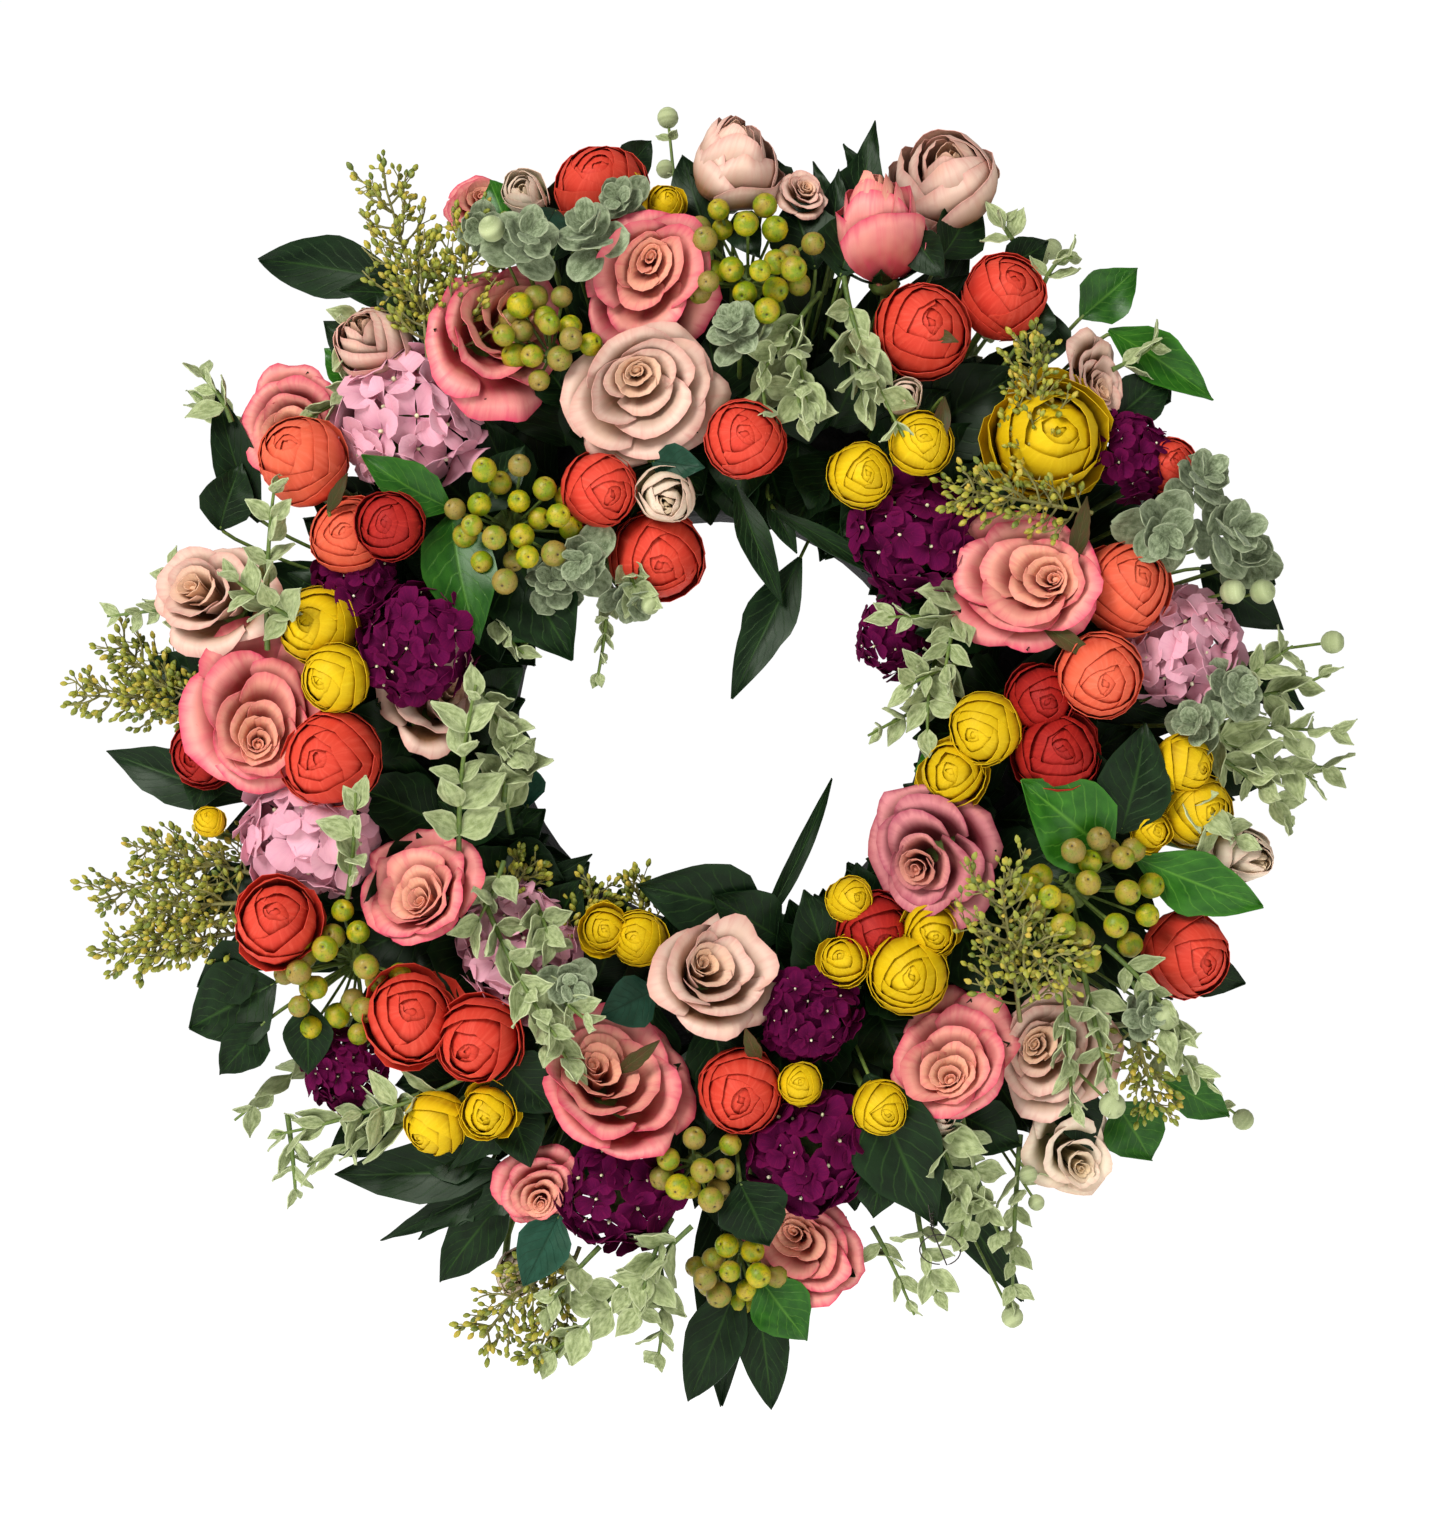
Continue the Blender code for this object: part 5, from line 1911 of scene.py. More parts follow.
# Single leaves: start and end as above, the width, the finish, the outline, teeth and curl.
DARK, BRIGHT, TEAL, SEPAL = Finish.DARK_LEAF, Finish.BRIGHT_LEAF, Finish.TEAL_LEAF, Finish.SEPAL
OVATE, LANCE, STRAP, IVY = Outline.OVATE, Outline.LANCE, Outline.STRAP, Outline.IVY
LEAVES = (
    ((-150, 214, 50), (-190, 214, 58), 20, DARK, LANCE, 0, 0.3),
    ((-162, 200, 60), (-186, 176, 66), 22, DARK, OVATE, 16, 0.3),
    ((-168, 176, 62), (-198, 200, 58), 24, DARK, OVATE, 16, 0.3),
    ((-126, -176, 56), (-162, -182, 50), 28, DARK, OVATE, 0, 0.3),
    ((-116, -206, 56), (-146, -196, 56), 26, DARK, OVATE, 0, 0.3),
    ((136, -176, 56), (154, -206, 56), 28, DARK, OVATE, 0, 0.3),
    ((110, 156, 56), (128, 182, 60), 26, DARK, OVATE, 0, 0.3),
    ((-150, 196, 64), (-172, 214, 62), 22, DARK, OVATE, 0, 0.3),
    ((-236, 8, 50), (-268, 40, 46), 26, DARK, OVATE, 16, 0.3),
    ((-240, 26, 46), (-280, 8, 44), 24, DARK, LANCE, 0, 0.3),
    ((-232, -72, 50), (-262, -96, 50), 24, DARK, OVATE, 16, 0.3),
    ((-228, -150, 60), (-250, -176, 58), 24, DARK, OVATE, 16, 0.3),
    ((-160, -196, 60), (-196, -214, 56), 26, DARK, OVATE, 0, 0.3),
    ((-124, -236, 60), (-152, -256, 56), 26, DARK, IVY, 16, 0.3),
    ((-108, -196, 80), (-134, -226, 76), 30, DARK, IVY, 16, 0.3),
    ((172, -180, 70), (186, -214, 66), 26, DARK, OVATE, 0, 0.3),
    ((226, -120, 60), (262, -132, 56), 24, DARK, OVATE, 16, 0.3),
    ((240, -20, 50), (276, -30, 46), 24, DARK, OVATE, 16, 0.3),
    ((140, 226, 60), (164, 240, 56), 22, DARK, OVATE, 16, 0.3),
    ((196, 150, 56), (224, 176, 52), 26, DARK, OVATE, 16, 0.3),
    ((-178, 168, 60), (-196, 188, 60), 20, BRIGHT, OVATE, 16, 0.3),
    ((-230, 100, 52), (-260, 162, 54), 24, DARK, LANCE, 0, 0.3),
    ((-134, 106, 98), (-182, 126, 104), 24, BRIGHT, OVATE, 20, 0.5),
    ((-122, 104, 90), (-98, 138, 90), 24, DARK, OVATE, 20, 0.4),
    ((-134, 104, 92), (-128, 38, 108), 36, BRIGHT, OVATE, 26, 0.5),
    ((-108, 92, 78), (-72, 32, 92), 46, DARK, OVATE, 24, 0.4),
    ((-120, 80, 78), (-112, 30, 88), 36, DARK, OVATE, 24, 0.4),
    ((8, 118, 72), (26, 58, 82), 17, DARK, LANCE, 0, 0.4),
    ((40, 82, 66), (8, 11, 80), 25, DARK, LANCE, 22, 0.5),
    ((26, 106, 76), (88, 68, 80), 11, DARK, LANCE, 0, 0.5),
    ((24, 112, 70), (38, 84, 76), 12, DARK, LANCE, 0, 0.3),
    ((-196, 104, 108), (-184, 122, 114), 7, SEPAL, LANCE, 12, 0.6),
    ((176, 78, 104), (184, 112, 110), 9, SEPAL, LANCE, 12, 0.6),
    ((160, 48, 104), (190, 30, 110), 9, SEPAL, LANCE, 12, 0.6),
    ((112, 162, 104), (110, 132, 110), 8, SEPAL, LANCE, 12, 0.6),
    ((102, 196, 96), (118, 188, 108), 8, SEPAL, LANCE, 12, 0.6),
    ((-52, -176, 96), (-30, -160, 104), 8, SEPAL, LANCE, 12, 0.6),
    ((20, -170, 100), (12, -154, 108), 8, SEPAL, LANCE, 12, 0.6),
    ((-96, 40, 72), (-108, 66, 84), 24, BRIGHT, OVATE, 18, 0.4),
    ((-118, 8, 70), (-98, 26, 84), 22, DARK, OVATE, 18, 0.4),
    ((-112, -4, 66), (-94, -28, 76), 24, DARK, OVATE, 18, 0.4),
    ((-108, -64, 64), (-78, -78, 72), 24, DARK, OVATE, 18, 0.4),
    ((-96, -84, 60), (-64, -66, 66), 12, DARK, LANCE, 0, 0.5),
    ((104, -60, 66), (86, -36, 76), 24, DARK, OVATE, 18, 0.4),
    ((120, -12, 66), (98, -26, 72), 20, BRIGHT, OVATE, 18, 0.4),
    ((24, -98, 74), (-40, -78, 86), 42, DARK, OVATE, 0, 0.4),
    ((30, -108, 72), (-4, -88, 88), 34, DARK, OVATE, 0, 0.3),
    ((22, -100, 62), (60, -30, 50), 9, DARK, STRAP, 0, 0.5),
    ((60, -140, 78), (42, -84, 84), 34, DARK, OVATE, 24, 0.3),
    ((70, -132, 76), (66, -92, 82), 20, DARK, LANCE, 0, 0.3),
    ((-222, -130, 56), (-266, -152, 52), 46, DARK, OVATE, 0, 0.4),
    ((-230, -120, 58), (-262, -128, 56), 34, DARK, OVATE, 0, 0.3),
    ((-236, -38, 46), (-307, -16, 36), 28, DARK, LANCE, 18, 0.4),
    ((-206, -140, 74), (-206, -176, 74), 26, DARK, LANCE, 0, 0.3),
    ((-250, 10, 48), (-284, 34, 44), 34, DARK, OVATE, 20, 0.5),
    ((74, -176, 94), (108, -252, 92), 46, DARK, OVATE, 30, 0.4),
    ((84, -200, 84), (78, -248, 84), 36, DARK, OVATE, 24, 0.3),
    ((10, -278, 58), (-14, -340, 50), 32, DARK, LANCE, 0, 0.4),
    ((18, -282, 56), (28, -343, 48), 27, DARK, LANCE, 0, 0.4),
    ((20, -278, 68), (42, -310, 66), 30, BRIGHT, OVATE, 18, 0.4),
    ((196, -66, 92), (148, -34, 108), 44, BRIGHT, OVATE, 26, 0.4),
    ((200, -56, 92), (216, -2, 96), 38, DARK, OVATE, 0, 0.4),
    ((190, -50, 88), (180, -8, 92), 30, DARK, OVATE, 0, 0.3),
    ((208, -68, 84), (271, -94, 80), 32, BRIGHT, LANCE, 22, 0.4),
    ((180, 202, 58), (209, 226, 56), 27, BRIGHT, OVATE, 16, 0.3),
    ((194, 196, 56), (247, 162, 50), 26, BRIGHT, OVATE, 22, 0.4),
    ((205, 172, 48), (226, 162, 46), 30, DARK, OVATE, 0, 0.4),
    ((166, 204, 62), (158, 174, 70), 26, DARK, OVATE, 0, 0.4),
    ((66, 248, 54), (80, 300, 46), 36, DARK, IVY, 16, 0.2),
    ((56, 236, 66), (58, 276, 60), 36, DARK, IVY, 16, 0.2),
    ((70, 240, 70), (104, 244, 70), 30, DARK, OVATE, 16, 0.2),
    ((48, 226, 74), (34, 262, 66), 34, DARK, OVATE, 20, 0.3),
    ((60, 222, 80), (70, 258, 76), 32, DARK, OVATE, 20, 0.3),
    ((110, 232, 60), (132, 262, 52), 30, DARK, OVATE, 0, 0.3),
    ((-4, 236, 66), (-18, 284, 54), 30, DARK, OVATE, 0, 0.3),
    ((-84, 230, 60), (-72, 276, 50), 30, DARK, OVATE, 0, 0.3),
    ((60, 244, 56), (46, 280, 50), 26, DARK, IVY, 16, 0.2),
    ((62, 244, 60), (92, 258, 58), 26, DARK, IVY, 16, 0.2),
    ((74, 262, 48), (66, 290, 44), 24, DARK, IVY, 16, 0.2),
    ((36, 262, 44), (20, 288, 42), 22, DARK, IVY, 14, 0.2),
    ((-106, -222, 66), (-192, -232, 54), 30, DARK, LANCE, 16, 0.4),
    ((-108, -228, 62), (-168, -262, 52), 30, DARK, IVY, 16, 0.3),
    ((-104, -234, 60), (-144, -276, 50), 28, DARK, LANCE, 16, 0.3),
    ((-100, -230, 68), (-128, -252, 64), 26, DARK, IVY, 16, 0.3),
    ((-116, -212, 66), (-152, -222, 62), 28, DARK, LANCE, 14, 0.3),
    ((-106, -190, 78), (-94, -222, 82), 28, DARK, OVATE, 0, 0.4),
    ((-96, -42, 52), (-103, -18, 60), 24, TEAL, OVATE, 0, 0.4),
    ((198, -190, 54), (214, -220, 50), 34, BRIGHT, OVATE, 18, 0.3),
    ((222, -178, 50), (254, -197, 44), 22, BRIGHT, LANCE, 14, 0.3),
    ((240, 78, 50), (281, 46, 46), 30, DARK, OVATE, 0, 0.4),
    ((246, 88, 46), (278, 70, 42), 30, DARK, OVATE, 0, 0.4),
    ((250, 30, 44), (292, 8, 40), 28, DARK, OVATE, 0, 0.4),
    ((-34, 130, 96), (-8, 126, 106), 20, TEAL, OVATE, 0, 0.3),
    ((-80, -246, 74), (-98, -282, 74), 28, TEAL, OVATE, 0, 0.3),
    ((116, -176, 92), (112, -206, 96), 24, TEAL, OVATE, 0, 0.3),
    ((-32, -134, 88), (-60, -146, 92), 28, TEAL, OVATE, 0, 0.3),
    ((-74, 158, 80), (-92, 186, 84), 26, DARK, OVATE, 0, 0.3),
    ((150, 190, 74), (158, 214, 72), 30, DARK, OVATE, 0, 0.4),
    ((96, 244, 78), (112, 222, 86), 22, DARK, OVATE, 0, 0.4),
    ((8, 254, 78), (20, 232, 92), 20, DARK, OVATE, 0, 0.4),
    ((-82, 256, 72), (-92, 236, 90), 20, TEAL, OVATE, 0, 0.3),
    ((-252, -20, 52), (-262, -44, 56), 24, DARK, OVATE, 0, 0.4),
    ((10, -230, 92), (24, -262, 92), 34, DARK, OVATE, 24, 0.4),
    ((120, -196, 74), (150, -212, 72), 30, DARK, OVATE, 0, 0.4),
    ((-110, -166, 88), (-84, -196, 88), 34, DARK, OVATE, 0, 0.4),
    ((-250, 96, 54), (-242, 130, 58), 28, DARK, OVATE, 0, 0.4),
    ((-104, 246, 56), (-116, 270, 52), 24, BRIGHT, LANCE, 0, 0.3),
    ((-50, 274, 56), (-34, 290, 52), 20, DARK, OVATE, 0, 0.3),
)


# ---------------------------------------------------------------------------------------------
# The wreath
# ---------------------------------------------------------------------------------------------


@dataclass
class Wreath:
    """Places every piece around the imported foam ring.

    Plan positions are as they look from viewing_distance in front of the wall; a piece that stands
    further forward moves in a little, and one further back moves out.
    """

    nodes: dict[str, bpy.types.Object]
    wardrobe: Wardrobe = field(default_factory=Wardrobe)
    seed: int = 20
    viewing_distance: float = 1670 * MM
    plan_forward: float = 70 * MM
    ring_middle: float = 140 * MM
    ring_half_width: float = 35 * MM
    bundle_base: float = 25 * MM
    bundle_rise: float = 70 * MM
    outward_span: float = 155 * MM
    inward_span: float = 78 * MM
    facing_share: float = 0.55
    open_share: float = 1.32
    fan_extra: float = 0.022
    free_depth: float = 112 * MM
    most_depth: float = 134 * MM
    centre: Array = field(init=False)
    gathered: dict[tuple[str, int], Bundle] = field(default_factory=dict)
    pieces: int = 0

    def __post_init__(self) -> None:
        """Find the ring's centre at its flat back."""
        low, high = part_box("foam_ring")
        self.centre = np.array(((low.x + high.x) / 2, high.y, (low.z + high.z) / 2))

    def chance(self, name: str) -> np.random.Generator:
        """Make a piece's own source of chance, so that one piece never disturbs another."""
        return np.random.default_rng([self.seed, *name.encode()])

    def spot(self, right: float, up: float, forward: float) -> Array:
        """Turn plan millimetres into a point."""
        reach = self.viewing_distance - self.plan_forward
        share = (self.viewing_distance - forward * MM) / reach
        offset = np.array((right * share, 0.0, up * share)) * MM
        return self.centre + offset + FRONT * forward * MM

    def bulge(self, right: float, up: float) -> float:
        """Find how many millimetres forward the bundle stands at a plan position."""
        offset = math.hypot(right, up) * MM - self.ring_middle
        span = self.outward_span if offset > 0 else self.inward_span
        lift = math.sqrt(max(0.0, 1 - (offset / span) ** 2))
        return (self.bundle_base + self.bundle_rise * lift) / MM

    def foam_foot(self, towards: Array) -> Array:
        """Find where a stem that aims at a point leaves the foam."""
        flat = (towards - self.centre) * np.array((1, 0, 1))
        middle = self.centre + unit(flat) * self.ring_middle
        return middle + unit(towards - middle) * self.ring_half_width * 0.9

    def show(
        self, bundle: Bundle, name: str, slot: str | None = None, node: str | None = None
    ) -> bpy.types.Object:
        """Build a piece and tie it to the frame.

        Args:
            bundle: Its patches.
            name: What it is called.
            slot: The record's material slot; not used.
            node: The CAD node that it stands for.

        Returns:
            The piece.
        """
        for patch in bundle.patches:
            self.hold_back(patch.points)
        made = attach(bundle.build(name, self.wardrobe), BODY)
        if node:
            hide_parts(node)
        self.pieces += 1
        low, high = bundle.extent()
        size = (high - low) / MM
        LOG.info("%s: %.0f x %.0f x %.0f mm, %d faces", name, *size, len(made.data.polygons))
        return made

    def gather(self, slot: str, point: Array, bundle: Bundle) -> None:
        """Keep a bundle for the piece that holds its slot at its hour of the clock."""
        key = (slot, self.sector(point))
        self.gathered.setdefault(key, Bundle(())).absorb(bundle)

    def show_gathered(self) -> None:
        """Build the gathered pieces."""
        for (slot, hour), bundle in sorted(self.gathered.items()):
            self.show(bundle, f"{slot}_at_{hour:02d}", slot)

    def hold_back(self, points: Array) -> None:
        """Press whatever stands too far forward back within the depth limit."""
        room = self.most_depth - self.free_depth
        excess = np.maximum(self.centre[1] - points[:, 1] - self.free_depth, 0.0)
        points[:, 1] += excess - room * (1 - np.exp(-excess / room))

    def sector(self, point: Array) -> int:
        """Find the hour of the clock that a point lies at."""
        angle = math.atan2(point[0] - self.centre[0], point[2] - self.centre[2])
        return int(angle / math.tau * 12 + 12.5) % 12 or 12

    def packed_site(self, node: str, aim: tuple[float, float, float] | None) -> Site:
        """Read where a packed head grows.

        Args:
            node: The CAD node.
            aim: Right, up and forward, or nothing for the usual lean.

        Returns:
            The site.
        """
        points = np.array([vertex.co for vertex in self.nodes[node].data.vertices])
        flat = (points - self.centre) * np.array((1, 0, 1))
        lengths = np.maximum(np.linalg.norm(flat, axis=1, keepdims=True), 1e-9)
        core = self.centre + flat / lengths * self.ring_middle
        foot = points[np.argmin(np.linalg.norm(points - core, axis=1))]
        axis = unit(points.mean(axis=0) - foot)
        along = (points - foot) @ axis
        out = np.linalg.norm(points - foot - np.outer(along, axis), axis=1)
        radius = float(out.max())
        centre = foot + axis * float(along[out > 0.97 * radius].mean())
        if aim:
            facing = unit(np.array((aim[0] * 1.25, -aim[2], aim[1] * 1.25)))
        else:
            facing = unit(axis * (1 - self.facing_share) + FRONT * self.facing_share)
        return Site(foot, centre, facing, radius * self.open_share)

    def plant_packed(self) -> None:
        """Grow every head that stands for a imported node."""
        for node in sorted(self.nodes):
            family = node.rpartition("_")[0]
            if family not in FAMILIES:
                continue
            kind, aim = FORMS.get(node, (FAMILIES[family], None))
            site = self.packed_site(node, aim)
            name = f"{node}_silk"
            bundle = kind.bloom.plant(site, self.chance(name))
            self.show(bundle, name, kind.slot, node)

    def plant_tucked(self) -> None:
        """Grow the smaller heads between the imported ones."""
        for number, (kind, right, up, radius, extra) in enumerate(TUCKED, 1):
            name = f"tucked_{kind.name.lower()}_{number:02d}"
            rng = self.chance(name)
            centre = self.spot(right, up, self.bulge(right, up) + extra)
            foot = self.foam_foot(centre)
            lean = unit(centre - foot)
            aim = unit(lean * 0.4 + FRONT * 0.6 + rng.normal(0, 0.20, 3))
            site = Site(foot, centre, aim, radius * MM)
            self.show(kind.bloom.plant(site, rng), name, kind.slot)

    def flat_ends(self, node: str) -> tuple[Array, Array]:
        """Read a flat packed pick's foot and tip."""
        points = np.array([vertex.co for vertex in self.nodes[node].data.vertices])
        away = np.linalg.norm((points - self.centre)[:, (0, 2)], axis=1)
        return points[np.argmin(away)], points[np.argmax(away)]

    def plant_fans(self) -> None:
        """Grow the sprigs and leaves that stand for the flat packed picks."""
        for node in sorted(self.nodes):
            if not node.startswith(("filler_spray", "sage_sprig", "dark_leaf")):
                continue
            foot, tip = self.flat_ends(node)
            tip = tip + (tip - self.centre) * np.array((1, 0, 1)) * self.fan_extra
            name = f"{node}_fine"
            rng = self.chance(name)
            bow = FRONT * 0.10 * float(np.linalg.norm(tip - foot))
            if node.startswith("filler_spray"):
                inward = unit(foot - tip) * 3 * MM
                run = Run(foot, tip + inward, bow * 1.4)
                bundle = Spray(run, 50 * MM, 30, 7, 0.30).bundle(rng)
                self.show(bundle, name, "filler_buds", node)
            elif node.startswith("sage_sprig"):
                self.show(self.fan_sprig(node, foot, tip, bow, rng), name, "sage_leaves", node)
            else:
                bundle = Bundle((Finish.DARK_LEAF, Finish.STALK))
                root = foot + (tip - foot) * (0.25 if "bottom" in node else 0.10)
                if node.endswith("upper_left"):
                    root = self.spot(-158, 220, 52)
                blade = Blade(root, tip, 34 * MM, FRONT, Outline.LANCE, 0.45, teeth=0)
                blade.add_to(bundle, rng)
                path = curve_between(foot, (foot + root) / 2, root + (tip - root) * 0.05, 6)
                bundle.add(Patch.tube(path, np.full(6, 1.3 * MM), 6, 1), 0.5)
                self.show(bundle, name, "dark_leaves", node)

    def fan_sprig(
        self, node: str, foot: Array, tip: Array, bow: Array, rng: np.random.Generator
    ) -> Bundle:
        """Grow the leafy stem for one packed sage sprig."""
        inward = unit(foot - tip)
        if node.endswith("top_stalk"):
            run = Run(foot, tip + inward * 6 * MM, bow)
            return Sprig(run, Finish.SAGE, 15 * MM, 9 * MM, 7, balls=2, splay=1.2).bundle(rng)
        if node.endswith("lower_right"):
            run = Run(foot, tip + inward * 6 * MM, bow)
            return Sprig(run, Finish.SAGE, 18 * MM, 10 * MM, 9, balls=1).bundle(rng)
        if node.endswith("upper_right"):
            run = Run(foot, tip + inward * 5 * MM, bow)
            return Sprig(run, Finish.SAGE, 18 * MM, 9 * MM, 8, balls=1).bundle(rng)
        run = Run(foot, tip + inward * 10 * MM, bow * 1.2)
        return Sprig(run, Finish.SAGE, 26 * MM, 14 * MM, 9, shrink=0.30).bundle(rng)

    def plant_stems(self) -> None:
        """Grow the leafy stems, rosettes and seed balls between the heads."""
        for number, (start, end, length, width, pairs) in enumerate(SAGE_STEMS, 1):
            name = f"sage_stem_{number:02d}"
            rng = self.chance(name)
            root, tip = self.spot(*start), self.spot(*end)
            bow = FRONT * 5 * MM + rng.normal(0, 5, 3) * MM
            sprig = Sprig(Run(root, tip, bow), Finish.SAGE, length * 1.15 * MM, width * 1.2 * MM, pairs)
            self.gather("sage_leaves", tip, sprig.bundle(rng))
        for number, (right, up, forward, radius) in enumerate(ROSETTES, 1):
            name = f"eucalyptus_{number:02d}"
            rng = self.chance(name)
            centre = self.spot(right, up, forward)
            foot = self.foam_foot(centre)
            aim = unit(unit(centre - foot) * 0.4 + FRONT * 0.6 + rng.normal(0, 0.2, 3))
            made = Rosette(foot, centre, aim, radius * MM).bundle(rng)
            self.gather("sage_leaves", centre, made)
        rng = self.chance("seed_balls")
        for right, up, forward, radius in SEED_BALLS:
            bundle = Bundle((Finish.SAGE, Finish.STALK))
            centre = self.spot(right, up, forward)
            foot = self.foam_foot(centre)
            aim = unit(centre - foot + rng.normal(0, 0.02, 3))
            stance = Stance.facing(centre, aim, rng.uniform(0, math.tau))
            bundle.add(berry_patch(radius * MM).moved(stance), rng.uniform())
            path = curve_between(foot, (foot + centre) / 2 - FRONT * 8 * MM, centre, 10)
            bundle.add(Patch.tube(path, np.full(10, 0.8 * MM), 5, 1), rng.uniform())
            self.gather("sage_leaves", centre, bundle)

    def plant_sprays(self) -> None:
        """Grow the bushy filler sprays."""
        for number, (start, end, width) in enumerate(SPRAYS, 1):
            name = f"filler_spray_{number:02d}"
            run = Run(self.spot(*start), self.spot(*end), FRONT * 5 * MM)
            length = run.length() / MM
            branches = max(8, int(length / 2.8))
            spray = Spray(run, width * MM, branches, 7, 0.1)
            self.gather("filler_buds", run.tip, spray.bundle(self.chance(name)))

    def plant_leaves(self) -> None:
        """Set the single leaves, each with a stalk back to the foam."""
        for number, row in enumerate(LEAVES, 1):
            start, end, width, finish, outline, teeth, curl = row
            name = f"leaf_{number:02d}"
            rng = self.chance(name)
            bundle = Bundle((finish, Finish.STALK))
            root, tip = self.spot(*start), self.spot(*end)
            face = FRONT + rng.normal(0, 0.16, 3)
            Blade(root, tip, width * MM, face, outline, curl, 0.25, teeth).add_to(bundle, rng)
            foot = self.foam_foot(root)
            span = tip - root
            path = curve_between(foot, root - unit(span) * 6 * MM, root + span * 0.06, 8)
            bundle.add(Patch.tube(path, np.full(8, 1.0 * MM), 6, 1), rng.uniform())
            self.gather("dark_leaves", tip, bundle)

    def plant_understorey(self) -> None:
        """Fill behind and between the heads with dark leaves, an hour of the clock at a time."""
        for hour in range(12):
            name = f"understorey_{hour + 1:02d}"
            rng = self.chance(name)
            bundle = Bundle((Finish.DARK_LEAF, Finish.STALK))
            for number in range(12):
                clock = math.tau * (hour + (number + rng.uniform(0, 1)) / 12) / 12
                row = number % 4
                self.add_fill_leaf(bundle, rng, clock, 158, 256 - 18 * row, 10 + 15 * row, 48)
            for number in range(9):
                clock = math.tau * (hour + (number + rng.uniform(0, 1)) / 9) / 12
                self.add_fill_leaf(bundle, rng, clock, 132, 101, 20 + 16 * (number % 3), 28)
            for number in range(7):
                clock = math.tau * (hour + (number + rng.uniform(0, 1)) / 7) / 12
                to = 112 if number % 2 else 190
                self.add_fill_leaf(bundle, rng, clock, 146, to, 52, 40)
            middle = math.tau * (hour + 0.5) / 12
            point = self.spot(140 * math.cos(middle), 140 * math.sin(middle), 0)
            self.gather("dark_leaves", point, bundle)

    def add_fill_leaf(
        self,
        bundle: Bundle,
        rng: np.random.Generator,
        clock: float,
        start: float,
        end: float,
        forward: float,
        width: float,
    ) -> None:
        """Add one leaf that runs outward or inward over the foam."""
        turn = clock + rng.normal(0, 0.10)
        reach = end * rng.uniform(0.94, 1.06)
        ahead = forward * rng.uniform(0.9, 1.2)
        root = self.spot(start * math.cos(clock), start * math.sin(clock), ahead)
        tip = self.spot(reach * math.cos(turn), reach * math.sin(turn), ahead + rng.uniform(4, 22))
        face = FRONT + rng.normal(0, 0.25, 3)
        outline = rng.choice(np.array((0, 1, 2)))
        shape = (Outline.OVATE, Outline.OVATE, Outline.LANCE)[int(outline)]
        teeth = int(rng.choice((0, 20, 24)))
        blade = Blade(root, tip, width * MM * rng.uniform(0.8, 1.1), face, shape, 0.4, 0.2, teeth)
        blade.add_to(bundle, rng)

    def plant_wire(self) -> None:
        """Hang the loose end of binding wire, twisted shut in a small loop."""
        foot, neck = self.spot(100, -214, 84), self.spot(106, -254, 98)
        turns = np.linspace(-0.4 * math.pi, 1.5 * math.pi, 26)
        ring = np.stack((np.cos(turns) * 10, turns * 0.8, np.sin(turns) * 7.5), axis=1) * MM
        loop = neck + np.array((4, 0, -10)) * MM + ring
        path = np.concatenate((curve_between(foot, (foot + neck) / 2, neck, 8), loop))
        bundle = Bundle((Finish.DARK_WIRE,))
        bundle.add(Patch.tube(path, np.full(len(path), 0.35 * MM), 6), 0.5)
        coil = np.linspace(0, 5 * math.tau, 50)
        twist = np.stack((np.cos(coil), np.sin(coil), coil * 0.28), axis=1) * 1.0 * MM
        bundle.add(Patch.tube(neck + twist, np.full(50, 0.3 * MM), 5), 0.5)
        self.show(bundle, "binding_wire", "stems")

    def dress_frame(self) -> None:
        """Give the carried-over foam and wire their finishes."""
        finishes = {
            "foam_ring": (Finish.FOAM, "foam"),
            "hanging_loop": (Finish.STEEL, "hanger_wire"),
            "staple_left": (Finish.STEEL, "hanger_wire"),
            "staple_right": (Finish.STEEL, "hanger_wire"),
        }
        for node, (finish, slot) in finishes.items():
            mesh = self.nodes[node].data
            mesh.materials.clear()
            mesh.materials.append(self.wardrobe.material(finish))


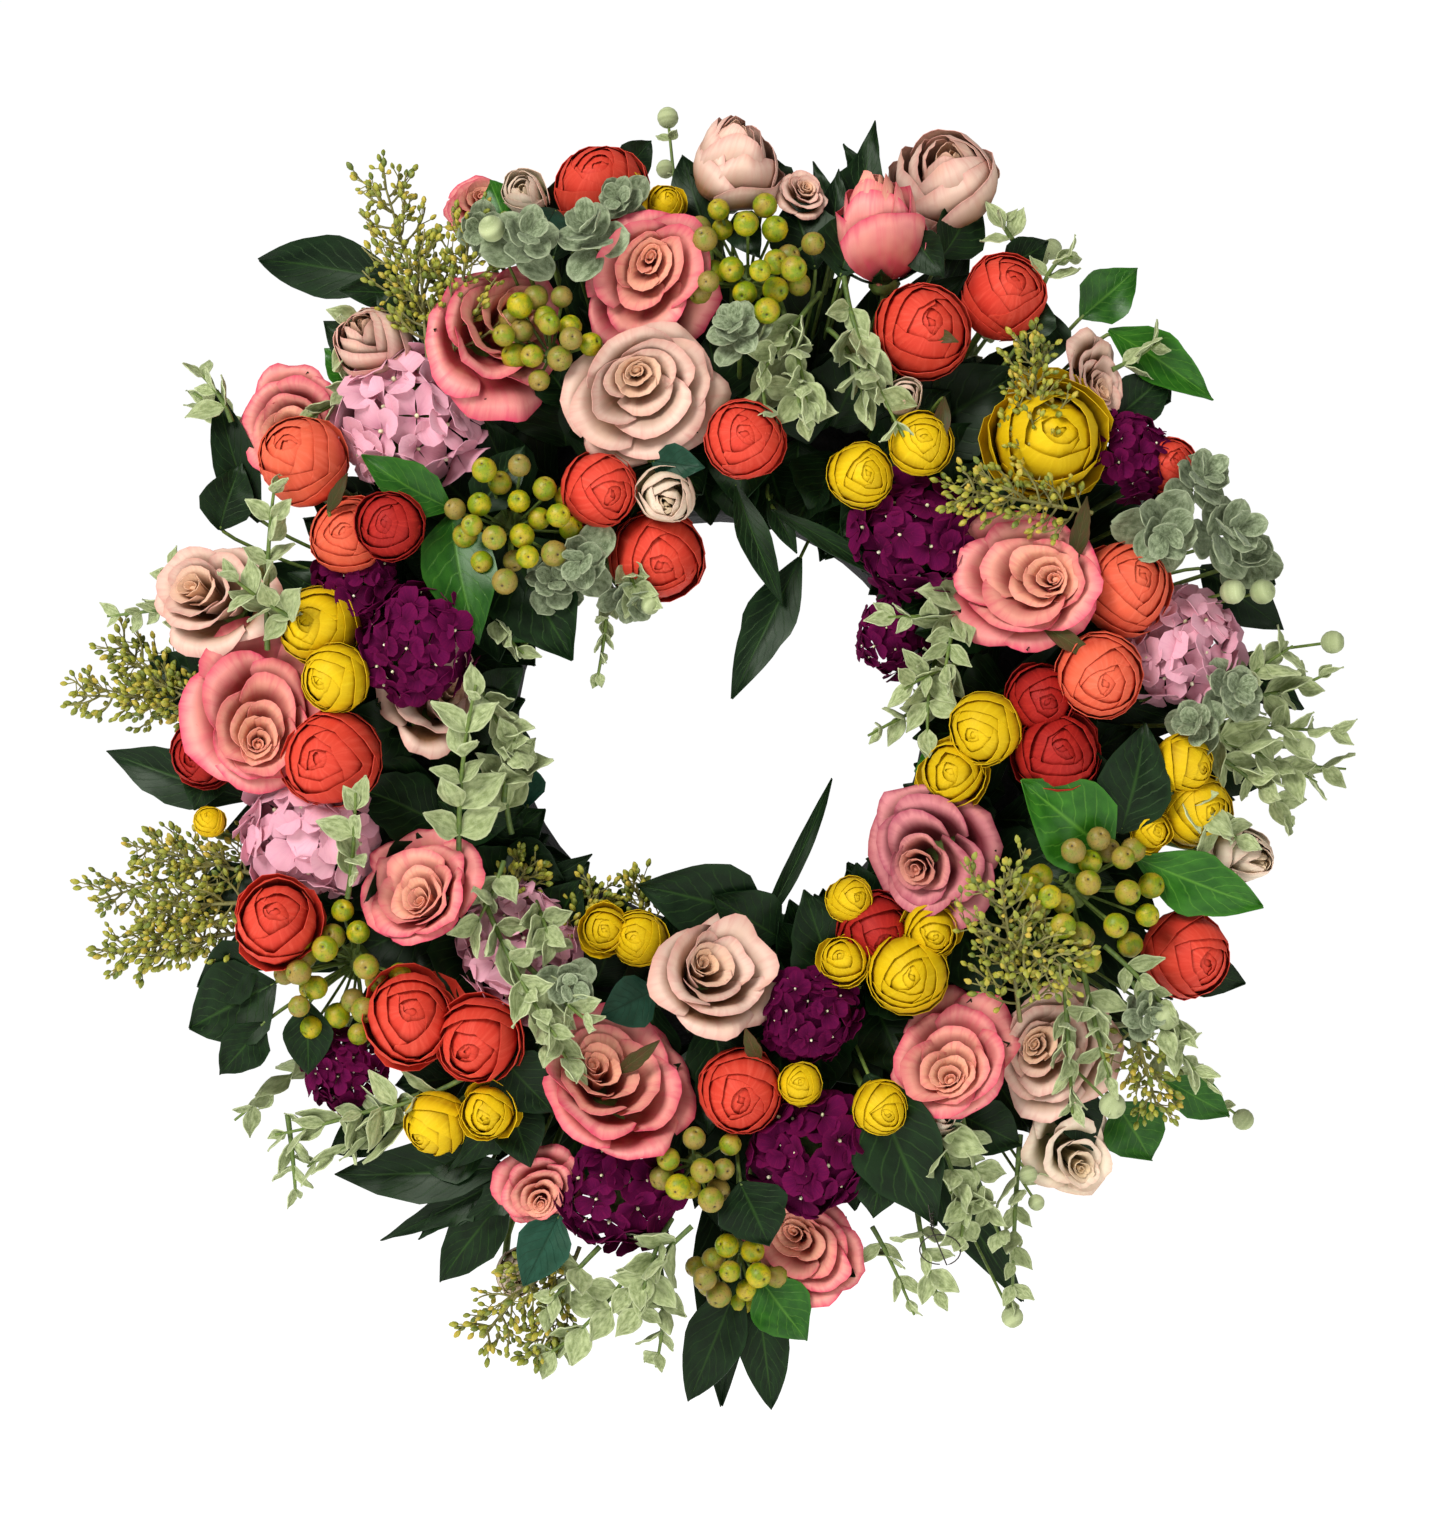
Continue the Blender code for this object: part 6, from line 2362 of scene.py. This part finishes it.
@dataclass(frozen=True)
class Studio:
    """White paper, soft light and the camera."""

    distance: float = 1600 * MM
    plane: float = -70 * MM
    aim_right: float = 1.25 * MM
    aim_height: float = -182.5 * MM
    lens: float = 76.1
    floor_height: float = -900 * MM
    floor_size: float = 14.0
    sky: float = 0.28
    paper: float = 1.02
    key_power: float = 108.0
    fill_power: float = 12.0

    def build(self, wardrobe: Wardrobe) -> None:
        """Set up the studio."""
        scene = bpy.context.scene
        scene.view_settings.view_transform = "Standard"
        world = bpy.data.worlds.new("studio")
        world.use_nodes = True
        tree = world.node_tree
        background = tree.nodes["Background"]
        background.inputs["Color"].default_value = (1.0, 1.0, 1.0, 1.0)
        seen = tree.nodes.new("ShaderNodeLightPath")
        strength = tree.nodes.new("ShaderNodeMapRange")
        strength.inputs["To Min"].default_value = self.sky
        strength.inputs["To Max"].default_value = self.paper
        tree.links.new(seen.outputs["Is Camera Ray"], strength.inputs["Value"])
        tree.links.new(strength.outputs["Result"], background.inputs["Strength"])
        scene.world = world
        self.add_floor(wardrobe)
        self.add_light("key", (-1.5, -2.4, 1.5), 1.3, self.key_power)
        self.add_light("fill", (1.9, -2.2, -0.3), 1.6, self.fill_power)
        self.add_camera()

    def add_floor(self, wardrobe: Wardrobe) -> None:
        """Lay the paper."""
        half = self.floor_size / 2
        corners = [(-half, -half), (half, -half), (half, half), (-half, half)]
        mesh = bpy.data.meshes.new("paper_floor")
        mesh.from_pydata([(x, y, self.floor_height) for x, y in corners], [], [(0, 1, 2, 3)])
        mesh.materials.append(wardrobe.material(Finish.PAPER))
        floor = bpy.data.objects.new("paper_floor", mesh)
        bpy.context.scene.collection.objects.link(floor)
        floor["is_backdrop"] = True

    def add_light(
        self, name: str, position: tuple[float, float, float], size: float, power: float
    ) -> None:
        """Hang a square soft light that faces the wreath."""
        data = bpy.data.lights.new(name, "AREA")
        data.size = size
        data.energy = power
        lamp = bpy.data.objects.new(name, data)
        target = np.array((0.0, self.plane, self.aim_height))
        self.turn_to(lamp, np.array(position), target)
        bpy.context.scene.collection.objects.link(lamp)

    def add_camera(self) -> None:
        """Stand the camera square to the wreath."""
        data = bpy.data.cameras.new("camera")
        data.lens = self.lens
        data.sensor_width = 36.0
        camera = bpy.data.objects.new("camera", data)
        place = np.array((self.aim_right, self.plane - self.distance, self.aim_height))
        self.turn_to(camera, place, place - FRONT)
        bpy.context.scene.collection.objects.link(camera)
        bpy.context.scene.camera = camera

    @staticmethod
    def turn_to(thing: bpy.types.Object, place: Array, target: Array) -> None:
        """Put a thing in place with its -Z at the target and its +Y up."""
        ahead = unit(target - place)
        side = unit(np.cross(ahead, UP))
        over = np.cross(side, ahead)
        matrix = np.eye(4)
        matrix[:3, 0], matrix[:3, 1], matrix[:3, 2] = side, over, -ahead
        matrix[:3, 3] = place
        thing.matrix_world = matrix.T.tolist()


def main() -> None:
    """Build the wreath and the studio."""
    logging.basicConfig(level=logging.INFO, format="%(name)s: %(message)s")
    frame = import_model()
    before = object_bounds()
    wreath = Wreath(frame["nodes"])
    wreath.dress_frame()
    wreath.plant_packed()
    wreath.plant_fans()
    wreath.plant_tucked()
    wreath.plant_stems()
    wreath.plant_sprays()
    wreath.plant_leaves()
    wreath.plant_understorey()
    wreath.plant_wire()
    wreath.show_gathered()
    Studio().build(wreath.wardrobe)
    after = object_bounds()
    LOG.info("%d pieces; CAD box %s; visual box %s", wreath.pieces, before, after)


if __name__ == "__main__":
    main()
